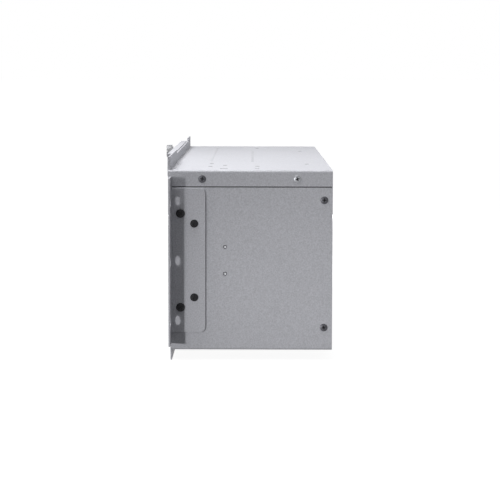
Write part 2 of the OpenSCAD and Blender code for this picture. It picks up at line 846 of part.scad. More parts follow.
module power_board_spacers() {
    color(bright_metal) for (x = spacer_x, s = [0, 1]) {
        z = power_board_z0 + standoff_inset + s * (power_board_h - 2 * standoff_inset);
        rod_y(x, [frame_rear_y, power_board_y0], z, standoff_r);
        rod_y(x, [frame_rear_y, power_board_y1 + board_head_t / 2], z, screw_r);
    }
}

module power_sockets() {
    y = [power_board_y1, power_board_y1 + socket_len];
    color("#e6e2d6") for (x = psu_x) difference() {
        block([x - socket_w / 2, x + socket_w / 2], y,
            [psu_mid_z - socket_h / 2, psu_mid_z + socket_h / 2]);
        for (s = [-1, 1])
            block([x + s * blade_pitch / 2 - blade_t / 2 - blade_gap,
                x + s * blade_pitch / 2 + blade_t / 2 + blade_gap],
                [y[1] - blade_len, y[1] + cut],
                [psu_mid_z - blade_w / 2 - blade_gap, psu_mid_z + blade_w / 2 + blade_gap]);
    }
}

module cable_headers() {
    x = [header_x - header_w / 2, header_x + header_w / 2];
    z = [header_z - header_h / 2, header_z + header_h / 2];
    color("#e6e2d6") {
        block(x, [power_board_y1, power_board_y1 + header_len], z);
        block(x, [backplane_y0 - header_len, backplane_y0], z);
    }
}

module power_wires() {
    color("#b03a2e") for (s = [-1, 0, 1])
        rod_y(header_x + s * wire_pitch,
            [power_board_y1 + header_len, backplane_y0 - header_len], header_z, wire_d / 2);
}

module status_lamps() {
    color("#7fd6a0") for (i = [0:status_count - 1])
        translate([status_x0 + i * status_pitch, base_front_y, status_z]) lamp();
}

// A small round lamp along +Y, its domed end just ahead of the origin
module lamp() {
    rod_y(0, [0, lamp_len], 0, lamp_r);
    sphere(lamp_r);
    rod_y(0, [sheet_t + sheet_gap, lamp_len], 0, lamp_r * 1.3);
}

module fan_frames() {
    boss_y = [fan_y0 + fan_cap_t + fan_end_gap + fan_post_gap, fan_y1];
    color("#232326") for (x = fan_x) translate([x, 0, fan_z]) difference() {
        union() {
            difference() {
                block([-fan_w / 2, fan_w / 2], [fan_y0, fan_y1], [-fan_w / 2, fan_w / 2]);
                rod_y(0, [fan_y0 - cut, fan_y1 + cut], 0, fan_bore_r);
            }
            rod_y(0, boss_y, 0, fan_post_r);
            rod_y(0, [fan_y1 - fan_back_t, fan_y1], 0, fan_hub_r);
            for (a = [0:90:270]) rotate([0, a + 45, 0])
                block([0, fan_bore_r + fan_wall], [fan_y1 - fan_back_t, fan_y1],
                    [-fan_strut_w / 2, fan_strut_w / 2]);
        }
        rod_y(0, [boss_y[0] - cut, fan_y1 - fan_back_t], 0, fan_shaft_r + fan_shaft_gap);
        for (a = [-1, 1], b = [-1, 1])
            rod_y(a * fan_screw_pitch / 2, [fan_y0 - cut, fan_y1 + cut],
                b * fan_screw_pitch / 2, thread_r);
    }
}

module fan_rotor(x) {
    y = [fan_y0 + fan_end_gap, fan_y1 - fan_back_t - fan_end_gap];
    tip_r = fan_bore_r - fan_tip_gap;
    color("#1c1c1f") translate([x, 0, fan_z]) {
        difference() {
            rod_y(0, y, 0, fan_hub_r);
            rod_y(0, [y[0] + fan_cap_t, y[1] + cut], 0, fan_hub_r - fan_cap_t);
        }
        rod_y(0, [y[0] + fan_cap_t / 2, y[1]], 0, fan_shaft_r);
        intersection() {
            for (k = [0:blade_count - 1]) rotate([0, k * 360 / blade_count, 0])
                translate([0, (y[0] + y[1]) / 2, 0]) rotate([blade_pitch_angle, 0, 0])
                    block([fan_hub_r - fan_cap_t / 2, tip_r + cut],
                        [-blade_sheet_t / 2, blade_sheet_t / 2], [-fan_hub_r, fan_hub_r]);
            difference() {
                rod_y(0, y, 0, tip_r);
                rod_y(0, [y[0] - cut, y[1] + cut], 0, fan_hub_r - fan_cap_t / 2);
            }
        }
    }
}

// One ring of a guard, as wide as its wire, round a middle radius
module guard_ring(ring_r) {
    difference() {
        circle(ring_r + guard_wire_d / 2);
        circle(ring_r - guard_wire_d / 2);
    }
}

module fan_guards() {
    corner_r = fan_screw_pitch / 2 * sqrt(2);
    inner_r = guard_rings_share[0] * fan_w / 2;
    color(bright_metal) for (x = fan_x) translate([x, rear_y + guard_wire_d, fan_z])
        rotate([90, 0, 0]) linear_extrude(guard_wire_d) {
            for (share = guard_rings_share) guard_ring(share * fan_w / 2);
            for (a = [45:90:315]) rotate(a) {
                translate([inner_r, -guard_wire_d / 2])
                    square([corner_r - eyelet_r - inner_r, guard_wire_d]);
                translate([corner_r, 0]) guard_ring(eyelet_r);
            }
        }
}

module fan_screws() {
    color(dark_metal) for (x = fan_x, a = [-1, 1], b = [-1, 1])
        translate([x + a * fan_screw_pitch / 2, rear_y + guard_wire_d,
            fan_z + b * fan_screw_pitch / 2]) rotate([0, 0, 90])
                side_screw(guard_head_d, board_head_t, guard_wire_d + sheet_t + screw_len);
}

// The ground screw and its washer
module ground_screw() {
    color("#c7a04a") {
        rod_y(ground_x, [rear_y + washer_t, rear_y + washer_t + ground_head_t], fan_z,
            ground_head_d / 2);
        rod_y(ground_x, [rear_y - screw_len, rear_y + washer_t + cut], fan_z, ground_r);
        difference() {
            rod_y(ground_x, [rear_y, rear_y + washer_t], fan_z, washer_d / 2);
            rod_y(ground_x, [rear_y - cut, rear_y + washer_t + cut], fan_z, ground_r + hole_gap);
        }
    }
}

module psu_rails() {
    y = [psu_front_y, inner_rear_y - sheet_gap];
    color(bright_metal) for (x = psu_x, s = [-1, 1]) {
        mid = x + s * (psu_w / 2 - rail_w);
        block([mid - rail_w / 2, mid + rail_w / 2], y, [inner_floor_z, psu_z0 - psu_gap / 2]);
    }
}

module psu_case(x) {
    color(bright_metal) translate([x, 0, 0]) difference() {
        union() {
            difference() {
                block([-psu_w / 2, psu_w / 2], [psu_front_y, plate_y1],
                    [psu_z0, psu_z0 + case_h - psu_t]);
                block([-psu_w / 2 + psu_t, psu_w / 2 - psu_t], [psu_front_y + psu_t, plate_y0],
                    [psu_z0 + psu_t, psu_z0 + case_h + cut]);
            }
            block([-plate_w / 2, plate_w / 2], [plate_y0, plate_y1],
                [psu_mid_z - plate_h / 2, psu_mid_z + plate_h / 2]);
            for (s = [-1, 1]) translate([s * (lug_x0 + lug_w / 2), 0, 0])
                block([-lug_w / 2, lug_w / 2], [plate_y0, bail_y + lug_h / 2],
                    [bail_z - lug_h / 2, bail_z + lug_h / 2]);
        }
        rod_x([-lug_x0 - lug_w - cut, lug_x0 + lug_w + cut], bail_y, bail_z,
            bail_r + bail_pin_gap);
        for (s = [-1, 1]) rod_y(s * psu_screw_x, [plate_y0 - cut, plate_y1 + cut], psu_mid_z, hole_r);
        block([inlet_x - inlet_w / 2 - fit_gap, inlet_x + inlet_w / 2 + fit_gap],
            [plate_y0 - cut, plate_y1 + cut],
            [psu_mid_z - inlet_h / 2 - fit_gap, psu_mid_z + inlet_h / 2 + fit_gap]);
        switch_cutout(fit_gap);
        rod_y(lamp_x, [plate_y0 - cut, plate_y1 + cut], psu_mid_z, lamp_r + hole_gap);
        block([-socket_w / 2, socket_w / 2], [psu_front_y - cut, psu_front_y + psu_t + cut],
            [psu_mid_z - socket_h / 2, psu_mid_z + socket_h / 2]);
    }
}

module switch_cutout(extra) {
    block([rocker_x - switch_half_w - extra, rocker_x + switch_half_w + extra],
        [plate_y0 - cut, plate_y1 + cut],
        [psu_mid_z - switch_half_h - extra, psu_mid_z + switch_half_h + extra]);
}

module psu_cover(x) {
    slot_len = psu_d / 2;
    step = psu_w / (cover_slot_count + 1);
    color(bright_metal) difference() {
        block([x - psu_w / 2, x + psu_w / 2], [psu_front_y, plate_y0],
            [psu_z0 + case_h - psu_t, psu_z0 + case_h]);
        for (i = [1:cover_slot_count])
            block([x - psu_w / 2 + i * step - vent_w / 2, x - psu_w / 2 + i * step + vent_w / 2],
                [psu_front_y + psu_d / 4, psu_front_y + psu_d / 4 + slot_len],
                [psu_z0 + case_h - psu_t - cut, psu_z0 + case_h + cut]);
    }
}

module psu_board(x) {
    half = psu_w / 2 - psu_t - psu_board_margin;
    y = [psu_front_y + psu_t + psu_board_margin, plate_y0 - inlet_depth - psu_board_margin];
    color(board_green) {
        block([x - half, x + half], y, [psu_board_z, psu_board_z + board_t]);
        for (a = [-1, 1], b = [0, 1])
            translate([x + a * (half - post_r), y[0] + post_r + b * (y[1] - y[0] - 2 * post_r),
                psu_z0 + psu_t])
                cylinder(h = psu_board_z - psu_z0 - psu_t + board_t / 2, r = post_r);
    }
}

// Transformer, two capacitors and a finned heat sink, standing on the module's board
module psu_parts(x) {
    z0 = psu_board_z + board_t;
    room = psu_z0 + case_h - psu_t - z0;
    y_mid = psu_front_y + psu_d * 0.4;
    core = psu_w * 0.32;
    can_r = psu_w * 0.09;
    color("#3a3a3d") {
        block([x - core, x], [y_mid - core / 2, y_mid + core / 2], [z0, z0 + room * 0.8]);
        for (s = [0, 1]) translate([x - core * 1.15 + s * core * 0.9, y_mid + core, z0])
            cylinder(h = room * 0.7, r = can_r);
        translate([x + psu_w * 0.2, y_mid - core / 2, z0]) {
            cube([psu_w * 0.18, core * 1.4, room * 0.12]);
            for (i = [0:3]) translate([i * psu_w * 0.05, 0, 0])
                cube([psu_w * 0.02, core * 1.4, room * 0.75]);
        }
    }
}

module psu_connector(x) {
    color("#e6e2d6") block([x - socket_w / 2 + fit_gap, x + socket_w / 2 - fit_gap],
        [psu_front_y, psu_front_y + socket_len],
        [psu_mid_z - socket_h / 2 + fit_gap, psu_mid_z + socket_h / 2 - fit_gap]);
    color("#c7a04a") for (s = [-1, 1])
        block([x + s * blade_pitch / 2 - blade_t / 2, x + s * blade_pitch / 2 + blade_t / 2],
            [psu_front_y - blade_reach, psu_front_y + socket_len / 2],
            [psu_mid_z - blade_w / 2, psu_mid_z + blade_w / 2]);
}

module psu_inlet(x) {
    half_inlet_w = inlet_w / 2;
    half_inlet_h = inlet_h / 2;
    outer_y = plate_y1 + inlet_flange_t;
    color("#202022") translate([x + inlet_x, 0, psu_mid_z]) {
        difference() {
            union() {
                block([-half_inlet_w, half_inlet_w], [plate_y1 - inlet_depth, outer_y],
                    [-half_inlet_h, half_inlet_h]);
                block([-half_inlet_w - inlet_flange, half_inlet_w + inlet_flange], [plate_y1, outer_y],
                    [-half_inlet_h - inlet_flange, half_inlet_h + inlet_flange]);
            }
            block([-half_inlet_w + inlet_wall, half_inlet_w - inlet_wall],
                [outer_y - inlet_hollow, outer_y + cut],
                [-half_inlet_h + inlet_wall, half_inlet_h - inlet_wall]);
        }
        for (k = [-1:1]) translate([k * inlet_pin_pitch, 0,
            k == 0 ? inlet_pin_step : -inlet_pin_step])
            block([-inlet_pin_w / 2, inlet_pin_w / 2],
                [outer_y - inlet_hollow - inlet_wall / 2, outer_y - inlet_hollow + inlet_pin_len],
                [-inlet_pin_h / 2, inlet_pin_h / 2]);
    }
}

module psu_switch_housing(x) {
    color("#202022") translate([x + rocker_x, 0, psu_mid_z]) difference() {
        union() {
            block([-switch_half_w, switch_half_w],
                [rocker_y - switch_depth - switch_wall, plate_y1 + switch_flange_t],
                [-switch_half_h, switch_half_h]);
            block([-switch_half_w - switch_flange, switch_half_w + switch_flange],
                [plate_y1, plate_y1 + switch_flange_t],
                [-switch_half_h - switch_flange, switch_half_h + switch_flange]);
        }
        block([-rocker_w / 2 - fit_gap, rocker_w / 2 + fit_gap],
            [rocker_y - switch_depth, plate_y1 + switch_flange_t + cut],
            [-rocker_half_h - rocker_gap, rocker_half_h + rocker_gap]);
        rod_x([-rocker_w / 2 - fit_gap - rocker_pin_len - fit_gap,
            rocker_w / 2 + fit_gap + rocker_pin_len + fit_gap],
            rocker_y, 0, rocker_pin_r + rocker_pin_gap);
    }
}

module psu_rocker(x) {
    color("#b8332c") translate([x + rocker_x, rocker_y, psu_mid_z]) {
        rotate([rocker_tilt, 0, 0]) rotate([90, 0, 90]) translate([0, 0, -rocker_w / 2])
            linear_extrude(rocker_w) polygon([[rocker_end, rocker_half_h], [rocker_mid, 0],
                [rocker_end, -rocker_half_h], [-rocker_foot_depth, -rocker_foot],
                [-rocker_foot_depth, rocker_foot]]);
        rod_x([-rocker_w / 2 - fit_gap - rocker_pin_len, rocker_w / 2 + fit_gap + rocker_pin_len],
            0, 0, rocker_pin_r);
    }
}

module psu_lamp(x) {
    color("#7fd6a0") translate([x + lamp_x, plate_y1, psu_mid_z]) mirror([0, 1, 0]) lamp();
}

module psu_bail(x) {
    arm_x = bail_w / 2;
    bar_z = bail_z - bail_arm;
    color(bright_metal) translate([x, bail_y, 0]) {
        for (s = [-1, 1]) {
            translate([s * arm_x, 0, bar_z]) cylinder(h = bail_arm, r = bail_r);
            translate([s * arm_x, 0, bar_z]) sphere(bail_r);
            translate([s * arm_x, 0, bail_z]) sphere(bail_r);
        }
        rod_x([-arm_x, arm_x], 0, bar_z, bail_r);
        rod_x([arm_x, lug_x0 + bail_pin_len], 0, bail_z, bail_r);
        rod_x([-lug_x0 - bail_pin_len, -arm_x], 0, bail_z, bail_r);
    }
}

module psu_thumbscrew(x) {
    color(bright_metal) translate([x, plate_y1 + knob_gap, psu_mid_z]) mirror([0, 1, 0])
        thumbscrew(psu_knob_d, psu_knob_len, psu_screw_len);
}

base_pan();
lid();
front_frame();
rear_panel();
rack_ear_left();
rack_ear_right();
ear_screws();
lid_screws();
rear_corner_screws();
side_rivets();
side_brackets();
lower_guide_tray();
upper_guide_tray();
tray_screws();
lock_bar();
lock_thumbscrew();
backplane_board();
bay_plug_blocks();
bay_plugs();
backplane_standoffs();
backplane_screws();
power_board();
power_board_spacers();
power_sockets();
cable_headers();
power_wires();
status_lamps();
fan_frames();
fan_rotor(fan_x[0]);  // fan_rotor_1
fan_rotor(fan_x[1]);  // fan_rotor_2
fan_rotor(fan_x[2]);  // fan_rotor_3
fan_guards();
fan_screws();
ground_screw();
psu_rails();
psu_case(psu_x[0]);  // psu_1_case
psu_cover(psu_x[0]);  // psu_1_cover
psu_board(psu_x[0]);  // psu_1_board
psu_parts(psu_x[0]);  // psu_1_parts
psu_connector(psu_x[0]);  // psu_1_connector
psu_inlet(psu_x[0]);  // psu_1_inlet
psu_switch_housing(psu_x[0]);  // psu_1_switch_housing
psu_rocker(psu_x[0]);  // psu_1_rocker
psu_lamp(psu_x[0]);  // psu_1_lamp
psu_bail(psu_x[0]);  // psu_1_bail
psu_thumbscrew(psu_x[0] - psu_screw_x);  // psu_1_screw_left
psu_thumbscrew(psu_x[0] + psu_screw_x);  // psu_1_screw_right
psu_case(psu_x[1]);  // psu_2_case
psu_cover(psu_x[1]);  // psu_2_cover
psu_board(psu_x[1]);  // psu_2_board
psu_parts(psu_x[1]);  // psu_2_parts
psu_connector(psu_x[1]);  // psu_2_connector
psu_inlet(psu_x[1]);  // psu_2_inlet
psu_switch_housing(psu_x[1]);  // psu_2_switch_housing
psu_rocker(psu_x[1]);  // psu_2_rocker
psu_lamp(psu_x[1]);  // psu_2_lamp
psu_bail(psu_x[1]);  // psu_2_bail
psu_thumbscrew(psu_x[1] - psu_screw_x);  // psu_2_screw_left
psu_thumbscrew(psu_x[1] + psu_screw_x);  // psu_2_screw_right
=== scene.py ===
"""A media converter chassis for a 19-inch rack, dressed for a studio picture.

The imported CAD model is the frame. Each function below makes one sub-part or one finish.
Sizes are millimetres until they meet a mesh, where MM turns them into metres. X runs
across the rack, Y from front to rear and Z up.
"""

import math
import random

import bmesh
import bpy
from mathutils import Matrix, Vector


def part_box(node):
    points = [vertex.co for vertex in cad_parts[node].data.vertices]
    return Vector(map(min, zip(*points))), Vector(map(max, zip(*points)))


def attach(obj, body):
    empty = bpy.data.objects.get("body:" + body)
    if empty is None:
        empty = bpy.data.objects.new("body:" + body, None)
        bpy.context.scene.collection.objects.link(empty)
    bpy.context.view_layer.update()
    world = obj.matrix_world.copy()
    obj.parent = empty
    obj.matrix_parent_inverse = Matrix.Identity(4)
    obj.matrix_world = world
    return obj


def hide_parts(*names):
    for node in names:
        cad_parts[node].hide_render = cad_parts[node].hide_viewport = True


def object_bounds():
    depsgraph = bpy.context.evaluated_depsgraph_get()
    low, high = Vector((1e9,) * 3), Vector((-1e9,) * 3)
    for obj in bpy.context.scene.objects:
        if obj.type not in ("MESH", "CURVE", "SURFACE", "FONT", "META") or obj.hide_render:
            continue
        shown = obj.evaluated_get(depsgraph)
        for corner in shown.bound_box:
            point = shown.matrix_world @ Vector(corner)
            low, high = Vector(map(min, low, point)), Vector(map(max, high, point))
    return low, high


MM = 0.001
FULL_TURN = 2 * math.pi

# Camera, from the chassis's edges in the photograph
CAMERA_PLACE = (1599, 62.8, 140.2)
CAMERA_DOWN = 5.485
CAMERA_YAW = 0.18
CAMERA_ROLL = 0.126
CAMERA_FOCUS_PX = 1866
PICTURE_PX = 500
SENSOR_WIDTH = 36

# Places in the CAD model
HALF_W = 220
FRONT_Y = -2.3
REAR_Y = 119.7
TOP_Z = 67
EAR_OUT_X = 221.5
EAR_SCREW_SPOTS = ((6.9, 35), (6.9, -35))
EAR_SMALL_SCREW_SPOTS = ((17.05, 27.5), (17.05, -27.5))
LID_SCREW_SPOTS = ((23.0, 60.5), (93.5, 60.5))
CORNER_SCREW_SPOTS = ((113.5, 44.9), (113.5, -50.1))
RIVET_SPOTS = ((39.9, -10), (39.9, 10))
RIVET_INNER_X = 217.4
LID_DEPTH = REAR_Y - FRONT_Y
MARK_SHARES = (
    (0.061, 0.036), (0.205, 0.036), (0.225, 0.246), (0.123, 0.246), (0.155, 0.336),
    (0.055, 0.541), (0.13, 0.541), (0.889, 0.541), (0.207, 0.861), (0.745, 0.861),
)
SLOT_MARK_SHARES = (0.052, 0.336)
LID_CREASES = ((26.2, 138, 391), (59.7, 127, 328))
SEAM_FRONT_Y = 0.4
SEAM_REAR_Y = 119.2
SEAM_X = (217.3, 218.9)
SEAM_Z = (54.25, 54.95)
TRAY_SCREW_X = 210.4
TRAY_SCREW_Y = 39.9
TRAY_TOP_Z = -13.4
LOCK_FRONT_Y = -7.9
LOCK_SCREW_Z = 71.68
FAN_X = (-120, -28, 64)
FAN_Z = 39
FAN_FRONT_Y = 108.5
FAN_REAR_Y = 118.5
FAN_SCREW_STEP = 16
FAN_HALF = 20
FAN_DUCT_R = 18.5
GUARD_T = 1.6
STANDOFF_X = (-164.0, -82.4, 26.4, 108.0)
STANDOFF_Z = 8.6
BACKPLANE_FRONT_Y = 103.6
BAYS_X0 = -164.8
BAY_PITCH = 27.2
BAY_COUNT = 10
BAY_WALL = 1.6
PLUG_Z = 0.6
PLUG_SEAT_Y = 98.6
GROUND_X = -200
MODULE_X = {"psu_1": -166, "psu_2": -60}
MODULE_Z = -41
MODULE_SCREW_X = 47
PLATE_Y = 121.1
INLET_X = -20.02
ROCKER_X = 8.136
ROCKER_Y = 121.7
LAMP_X = 24.144
BAIL_Y = 123.2
BAIL_Z = -24
HEADER_X = 78.8
HEADER_Z = -33
WIRE_PITCH = 4
WIRE_FRONT_Y = 13.2
WIRE_REAR_Y = 96.6
STATUS_X = (116.8, 124.8, 132.8)
STATUS_Y = -0.9
STATUS_Z = -55
POWER_CAN_X = (-118, -108, -8, 2)
POWER_CAN_Y = 6.2
POWER_CAN_RISE = (-8, 6)
KNOB_AIR = 0.1

# Screws: head diameter, head height and length under the head
EAR_SCREW = (6.5, 1.3, 6)
EAR_SMALL_SCREW = (5.9, 1.3, 6)
LID_SCREW = (5.6, 0.7, 6)
CORNER_SCREW = (5.7, 0.7, 6)
TRAY_SCREW = (5.5, 1.4, 6)
BACKPLANE_SCREW = (5.5, 1.4, 4.3)
FAN_SCREW = (6.4, 1.4, 8.8)
FLAT_CROWN = 0.7
SHANK_R = 1.5
RECESS_DEPTH_SHARE = 0.25

# Knobs: head diameter, head length, shank length and teeth
LOCK_KNOB = (10.7, 5.6, 6.4, 36)
MODULE_KNOB = (9, 5, 5, 30)

# A lamp's lens, as points of radius and depth behind its panel's face
LENS = (
    (0, -1.5), (0.75, -1.3), (1.3, -0.75), (1.5, 0),
    (1.5, 1.4), (1.95, 1.4), (1.95, 4), (0, 4),
)

# Turns and places that patterns share
QUARTERS = [Matrix.Rotation(math.radians(45 + 90 * k), 4, "Z") for k in range(4)]
FAN_CORNERS = [(a * FAN_SCREW_STEP, b * FAN_SCREW_STEP) for a in (-1, 1) for b in (-1, 1)]

# Studio light: lamp places are in metres, turns and widths in degrees
AMBIENT = 0.28
FLOOR_GLOW = 0.93
FLOOR_PALE = 0.3
FLOOR_RETURN = 0.12
FLOOR_HALF = 40
KEY_STRENGTH = 0.6
KEY_SIZE = 9
KEY_TURN = 28
KEY_FALL = 0.03
POOL_STRENGTH = 125
POOL_WIDTH = 8
POOL_REACH = 3
POOL_RADIUS = 0.05
POOL_TARGET = (0.22, 0.12, -0.07)
LOW_FILLS = (
    ("left_fill", 2.6, 0.24, (-1.2, 0.06, -0.045)),
    ("rear_fill", 4.2, 0.5, (-0.2, 1.2, -0.045)),
)
LOW_FILL_H = 0.05
LOW_FILL_TARGET = (-0.05, 0.1, -0.02)
TOP_SIZE = (0.5, 0.5)
TOP_STRENGTH = 8.4
TOP_PLACE = (0.2, -0.23, 0.77)
TOP_TARGET = (0.14, -0.1, 0.07)


# Small tools for meshes


def block(x, y, z, round_by=0.0, segments=2):
    """A box between two corners, given as three ranges, with its edges rounded."""
    size = [b - a for a, b in (x, y, z)]
    middle = [(a + b) / 2 for a, b in (x, y, z)]
    bm = bmesh.new()
    place = Matrix.Translation(Vector(middle) * MM)
    scale = Matrix.Diagonal((size[0] * MM, size[1] * MM, size[2] * MM, 1))
    bmesh.ops.create_cube(bm, size=1, matrix=place @ scale)
    if round_by:
        round_edges(bm, list(bm.edges), round_by, segments)
    return bm


def round_edges(bm, edges, radius, segments=2):
    bmesh.ops.bevel(
        bm,
        geom=edges,
        offset=radius * MM,
        offset_type="OFFSET",
        affect="EDGES",
        segments=segments,
        profile=0.5,
        material=-1,
        clamp_overlap=True,
    )


def edges_along(bm, axis):
    """The straight edges that run along one axis, 0, 1 or 2."""
    found = []
    for edge in bm.edges:
        along = (edge.verts[1].co - edge.verts[0].co).normalized()
        if abs(along[axis]) > 0.999:
            found.append(edge)
    return found


def turned(profile, steps=48, closed=False):
    """A body of revolution about Z from points of radius and height."""
    bm = bmesh.new()
    verts = [bm.verts.new((r * MM, 0, h * MM)) for r, h in profile]
    ends = list(zip(verts, verts[1:]))
    if closed:
        ends.append((verts[-1], verts[0]))
    edges = [bm.edges.new(pair) for pair in ends]
    bmesh.ops.spin(
        bm,
        geom=verts + edges,
        cent=(0, 0, 0),
        axis=(0, 0, 1),
        dvec=(0, 0, 0),
        angle=FULL_TURN,
        steps=steps,
        use_merge=True,
    )
    bmesh.ops.remove_doubles(bm, verts=bm.verts, dist=0.0005 * MM)
    bmesh.ops.recalc_face_normals(bm, faces=bm.faces)
    return bm


def rod(start, end, radius, sides=24):
    """A round bar between two points."""
    start, end = Vector(start) * MM, Vector(end) * MM
    along = end - start
    bm = bmesh.new()
    turn = along.to_track_quat("Z", "Y").to_matrix().to_4x4()
    bmesh.ops.create_cone(
        bm,
        cap_ends=True,
        segments=sides,
        radius1=radius * MM,
        radius2=radius * MM,
        depth=along.length,
        matrix=Matrix.Translation((start + end) / 2) @ turn,
    )
    return bm


def moved(bm, place):
    bmesh.ops.transform(bm, matrix=place, verts=bm.verts)
    return bm


def at(x, y, z):
    return Matrix.Translation(Vector((x, y, z)) * MM)


def joined(parts):
    """One bmesh that holds all the parts, which are used up."""
    whole = bmesh.new()
    for part in parts:
        mesh = bpy.data.meshes.new("part")
        part.to_mesh(mesh)
        part.free()
        whole.from_mesh(mesh)
        bpy.data.meshes.remove(mesh)
    return whole


def repeated(bm, places):
    """One bmesh with a copy of bm at each place; bm is used up."""
    mesh = bpy.data.meshes.new("pattern")
    bm.to_mesh(mesh)
    bm.free()
    whole = bmesh.new()
    for place in places:
        first = len(whole.verts)
        whole.from_mesh(mesh)
        whole.verts.ensure_lookup_table()
        bmesh.ops.transform(whole, matrix=place, verts=whole.verts[first:])
    bpy.data.meshes.remove(mesh)
    return whole


def plain_object(bm):
    mesh = bpy.data.meshes.new("tool")
    bm.to_mesh(mesh)
    bm.free()
    made = bpy.data.objects.new("tool", mesh)
    bpy.context.scene.collection.objects.link(made)
    return made


def combined(bm, tools, operation="DIFFERENCE"):
    """bm with each of the tools cut out of it, or added to it."""
    base = plain_object(bm)
    helpers = [plain_object(tool) for tool in tools]
    for helper in helpers:
        modifier = base.modifiers.new("shape", "BOOLEAN")
        modifier.operation = operation
        modifier.solver = "EXACT"
        modifier.object = helper
    result = bmesh.new()
    result.from_object(base, bpy.context.evaluated_depsgraph_get())
    for used in [base, *helpers]:
        mesh = used.data
        bpy.data.objects.remove(used)
        bpy.data.meshes.remove(mesh)
    bmesh.ops.remove_doubles(result, verts=result.verts, dist=0.0005 * MM)
    return result


def bent_route(route, corner):
    """The route's points with each inner corner rounded."""
    steps = 6
    points = [Vector(p) for p in route]
    made = [points[0]]
    for before, here, after in zip(points, points[1:], points[2:]):
        start = here + (before - here).normalized() * corner
        end = here + (after - here).normalized() * corner
        for i in range(steps + 1):
            t = i / steps
            made.append((1 - t) ** 2 * start + 2 * t * (1 - t) * here + t * t * end)
    made.append(points[-1])
    return made


def wire(points, radius, rings=3):
    """A round wire along the points, closed at both ends."""
    curve = bpy.data.curves.new("route", "CURVE")
    curve.dimensions = "3D"
    curve.bevel_depth = radius * MM
    curve.bevel_resolution = rings
    curve.use_fill_caps = True
    spline = curve.splines.new("POLY")
    spline.points.add(len(points) - 1)
    for slot, point in zip(spline.points, points):
        slot.co = (*(Vector(point) * MM), 1)
    holder = bpy.data.objects.new("route", curve)
    bpy.context.scene.collection.objects.link(holder)
    bpy.context.view_layer.update()
    mesh = holder.to_mesh()
    bm = bmesh.new()
    bm.from_mesh(mesh)
    holder.to_mesh_clear()
    bpy.data.objects.remove(holder)
    bpy.data.curves.remove(curve)
    bmesh.ops.remove_doubles(bm, verts=bm.verts, dist=0.001 * MM)
    bmesh.ops.recalc_face_normals(bm, faces=bm.faces)
    return bm


def show(name, bm, finish, body="chassis", stands_for=(), crease=35):
    """Makes the bmesh a piece that rides on a body, in one of the finishes."""
    mesh = bpy.data.meshes.new(name)
    bm.to_mesh(mesh)
    bm.free()
    mesh.materials.append(FINISHES[finish])
    mesh.shade_smooth()
    mesh.set_sharp_from_angle(angle=math.radians(crease))
    piece = bpy.data.objects.new(name, mesh)
    bpy.context.scene.collection.objects.link(piece)
    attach(piece, body)
    if stands_for:
        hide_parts(*stands_for)
    return piece


def eased(piece, width, angle):
    """Rounds the piece's edges that are sharper than the angle."""
    bevel = piece.modifiers.new("eased_edges", "BEVEL")
    bevel.width = width * MM
    bevel.segments = 2
    bevel.limit_method = "ANGLE"
    bevel.angle_limit = math.radians(angle)
    return bevel


def softened(node, finish, body="chassis", edge=0.16):
    """The CAD node's own shape with its sharp edges eased; it stands for the node."""
    bm = bmesh.new()
    bm.from_mesh(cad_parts[node].data)
    bmesh.ops.remove_doubles(bm, verts=bm.verts, dist=0.0005 * MM)
    bmesh.ops.dissolve_limit(
        bm, angle_limit=math.radians(0.5), verts=bm.verts, edges=bm.edges, delimit=set()
    )
    piece = show(f"{node}_sheet", bm, finish, body, (node,))
    bevel = eased(piece, edge, 40)
    bevel.use_clamp_overlap = False
    bevel.harden_normals = True


# Small tools for finishes


def blank_finish(name, roughness, metallic=0.0):
    """A material with one shader, whose inputs the caller fills in."""
    material = bpy.data.materials.new(name)
    material.use_nodes = True
    tree = material.node_tree
    shader = tree.nodes["Principled BSDF"]
    shader.inputs["Roughness"].default_value = roughness
    shader.inputs["Metallic"].default_value = metallic
    return material, tree, shader


def grain(tree, size, detail=2.0, stretch=(1, 1, 1)):
    """A noise with grains of about the given size in millimetres."""
    place = tree.nodes.new("ShaderNodeTexCoord")
    mapping = tree.nodes.new("ShaderNodeMapping")
    mapping.inputs["Scale"].default_value = stretch
    texture = tree.nodes.new("ShaderNodeTexNoise")
    texture.inputs["Scale"].default_value = 1 / (size * MM)
    texture.inputs["Detail"].default_value = detail
    tree.links.new(place.outputs["Object"], mapping.inputs["Vector"])
    tree.links.new(mapping.outputs["Vector"], texture.inputs["Vector"])
    return texture.outputs["Fac"]


def shades(tree, value, stops):
    """Colours along a value, as (position, colour) stops."""
    ramp = tree.nodes.new("ShaderNodeValToRGB")
    elements = ramp.color_ramp.elements
    while len(elements) < len(stops):
        elements.new(0.5)
    for element, (position, color) in zip(elements, stops):
        element.position = position
        element.color = (*color, 1)
    tree.links.new(value, ramp.inputs["Fac"])
    return ramp.outputs["Color"]


def scaled(color, factor):
    return tuple(min(1.0, c * factor) for c in color)


def multiply(tree, first, second):
    mix = tree.nodes.new("ShaderNodeMix")
    mix.data_type = "RGBA"
    mix.blend_type = "MULTIPLY"
    mix.inputs["Factor"].default_value = 1
    tree.links.new(first, mix.inputs["A"])
    tree.links.new(second, mix.inputs["B"])
    return mix.outputs["Result"]


def spread(tree, value, low, high):
    """A number between low and high that follows the value."""
    span = tree.nodes.new("ShaderNodeMapRange")
    span.inputs["From Min"].default_value = 0.3
    span.inputs["From Max"].default_value = 0.7
    span.inputs["To Min"].default_value = low
    span.inputs["To Max"].default_value = high
    tree.links.new(value, span.inputs["Value"])
    return span.outputs["Result"]


def relief(tree, shader, value, depth, strength=1.0):
    """A fine surface relief, its depth in millimetres."""
    bump = tree.nodes.new("ShaderNodeBump")
    bump.inputs["Distance"].default_value = depth * MM
    bump.inputs["Strength"].default_value = strength
    tree.links.new(value, bump.inputs["Height"])
    tree.links.new(bump.outputs["Normal"], shader.inputs["Normal"])


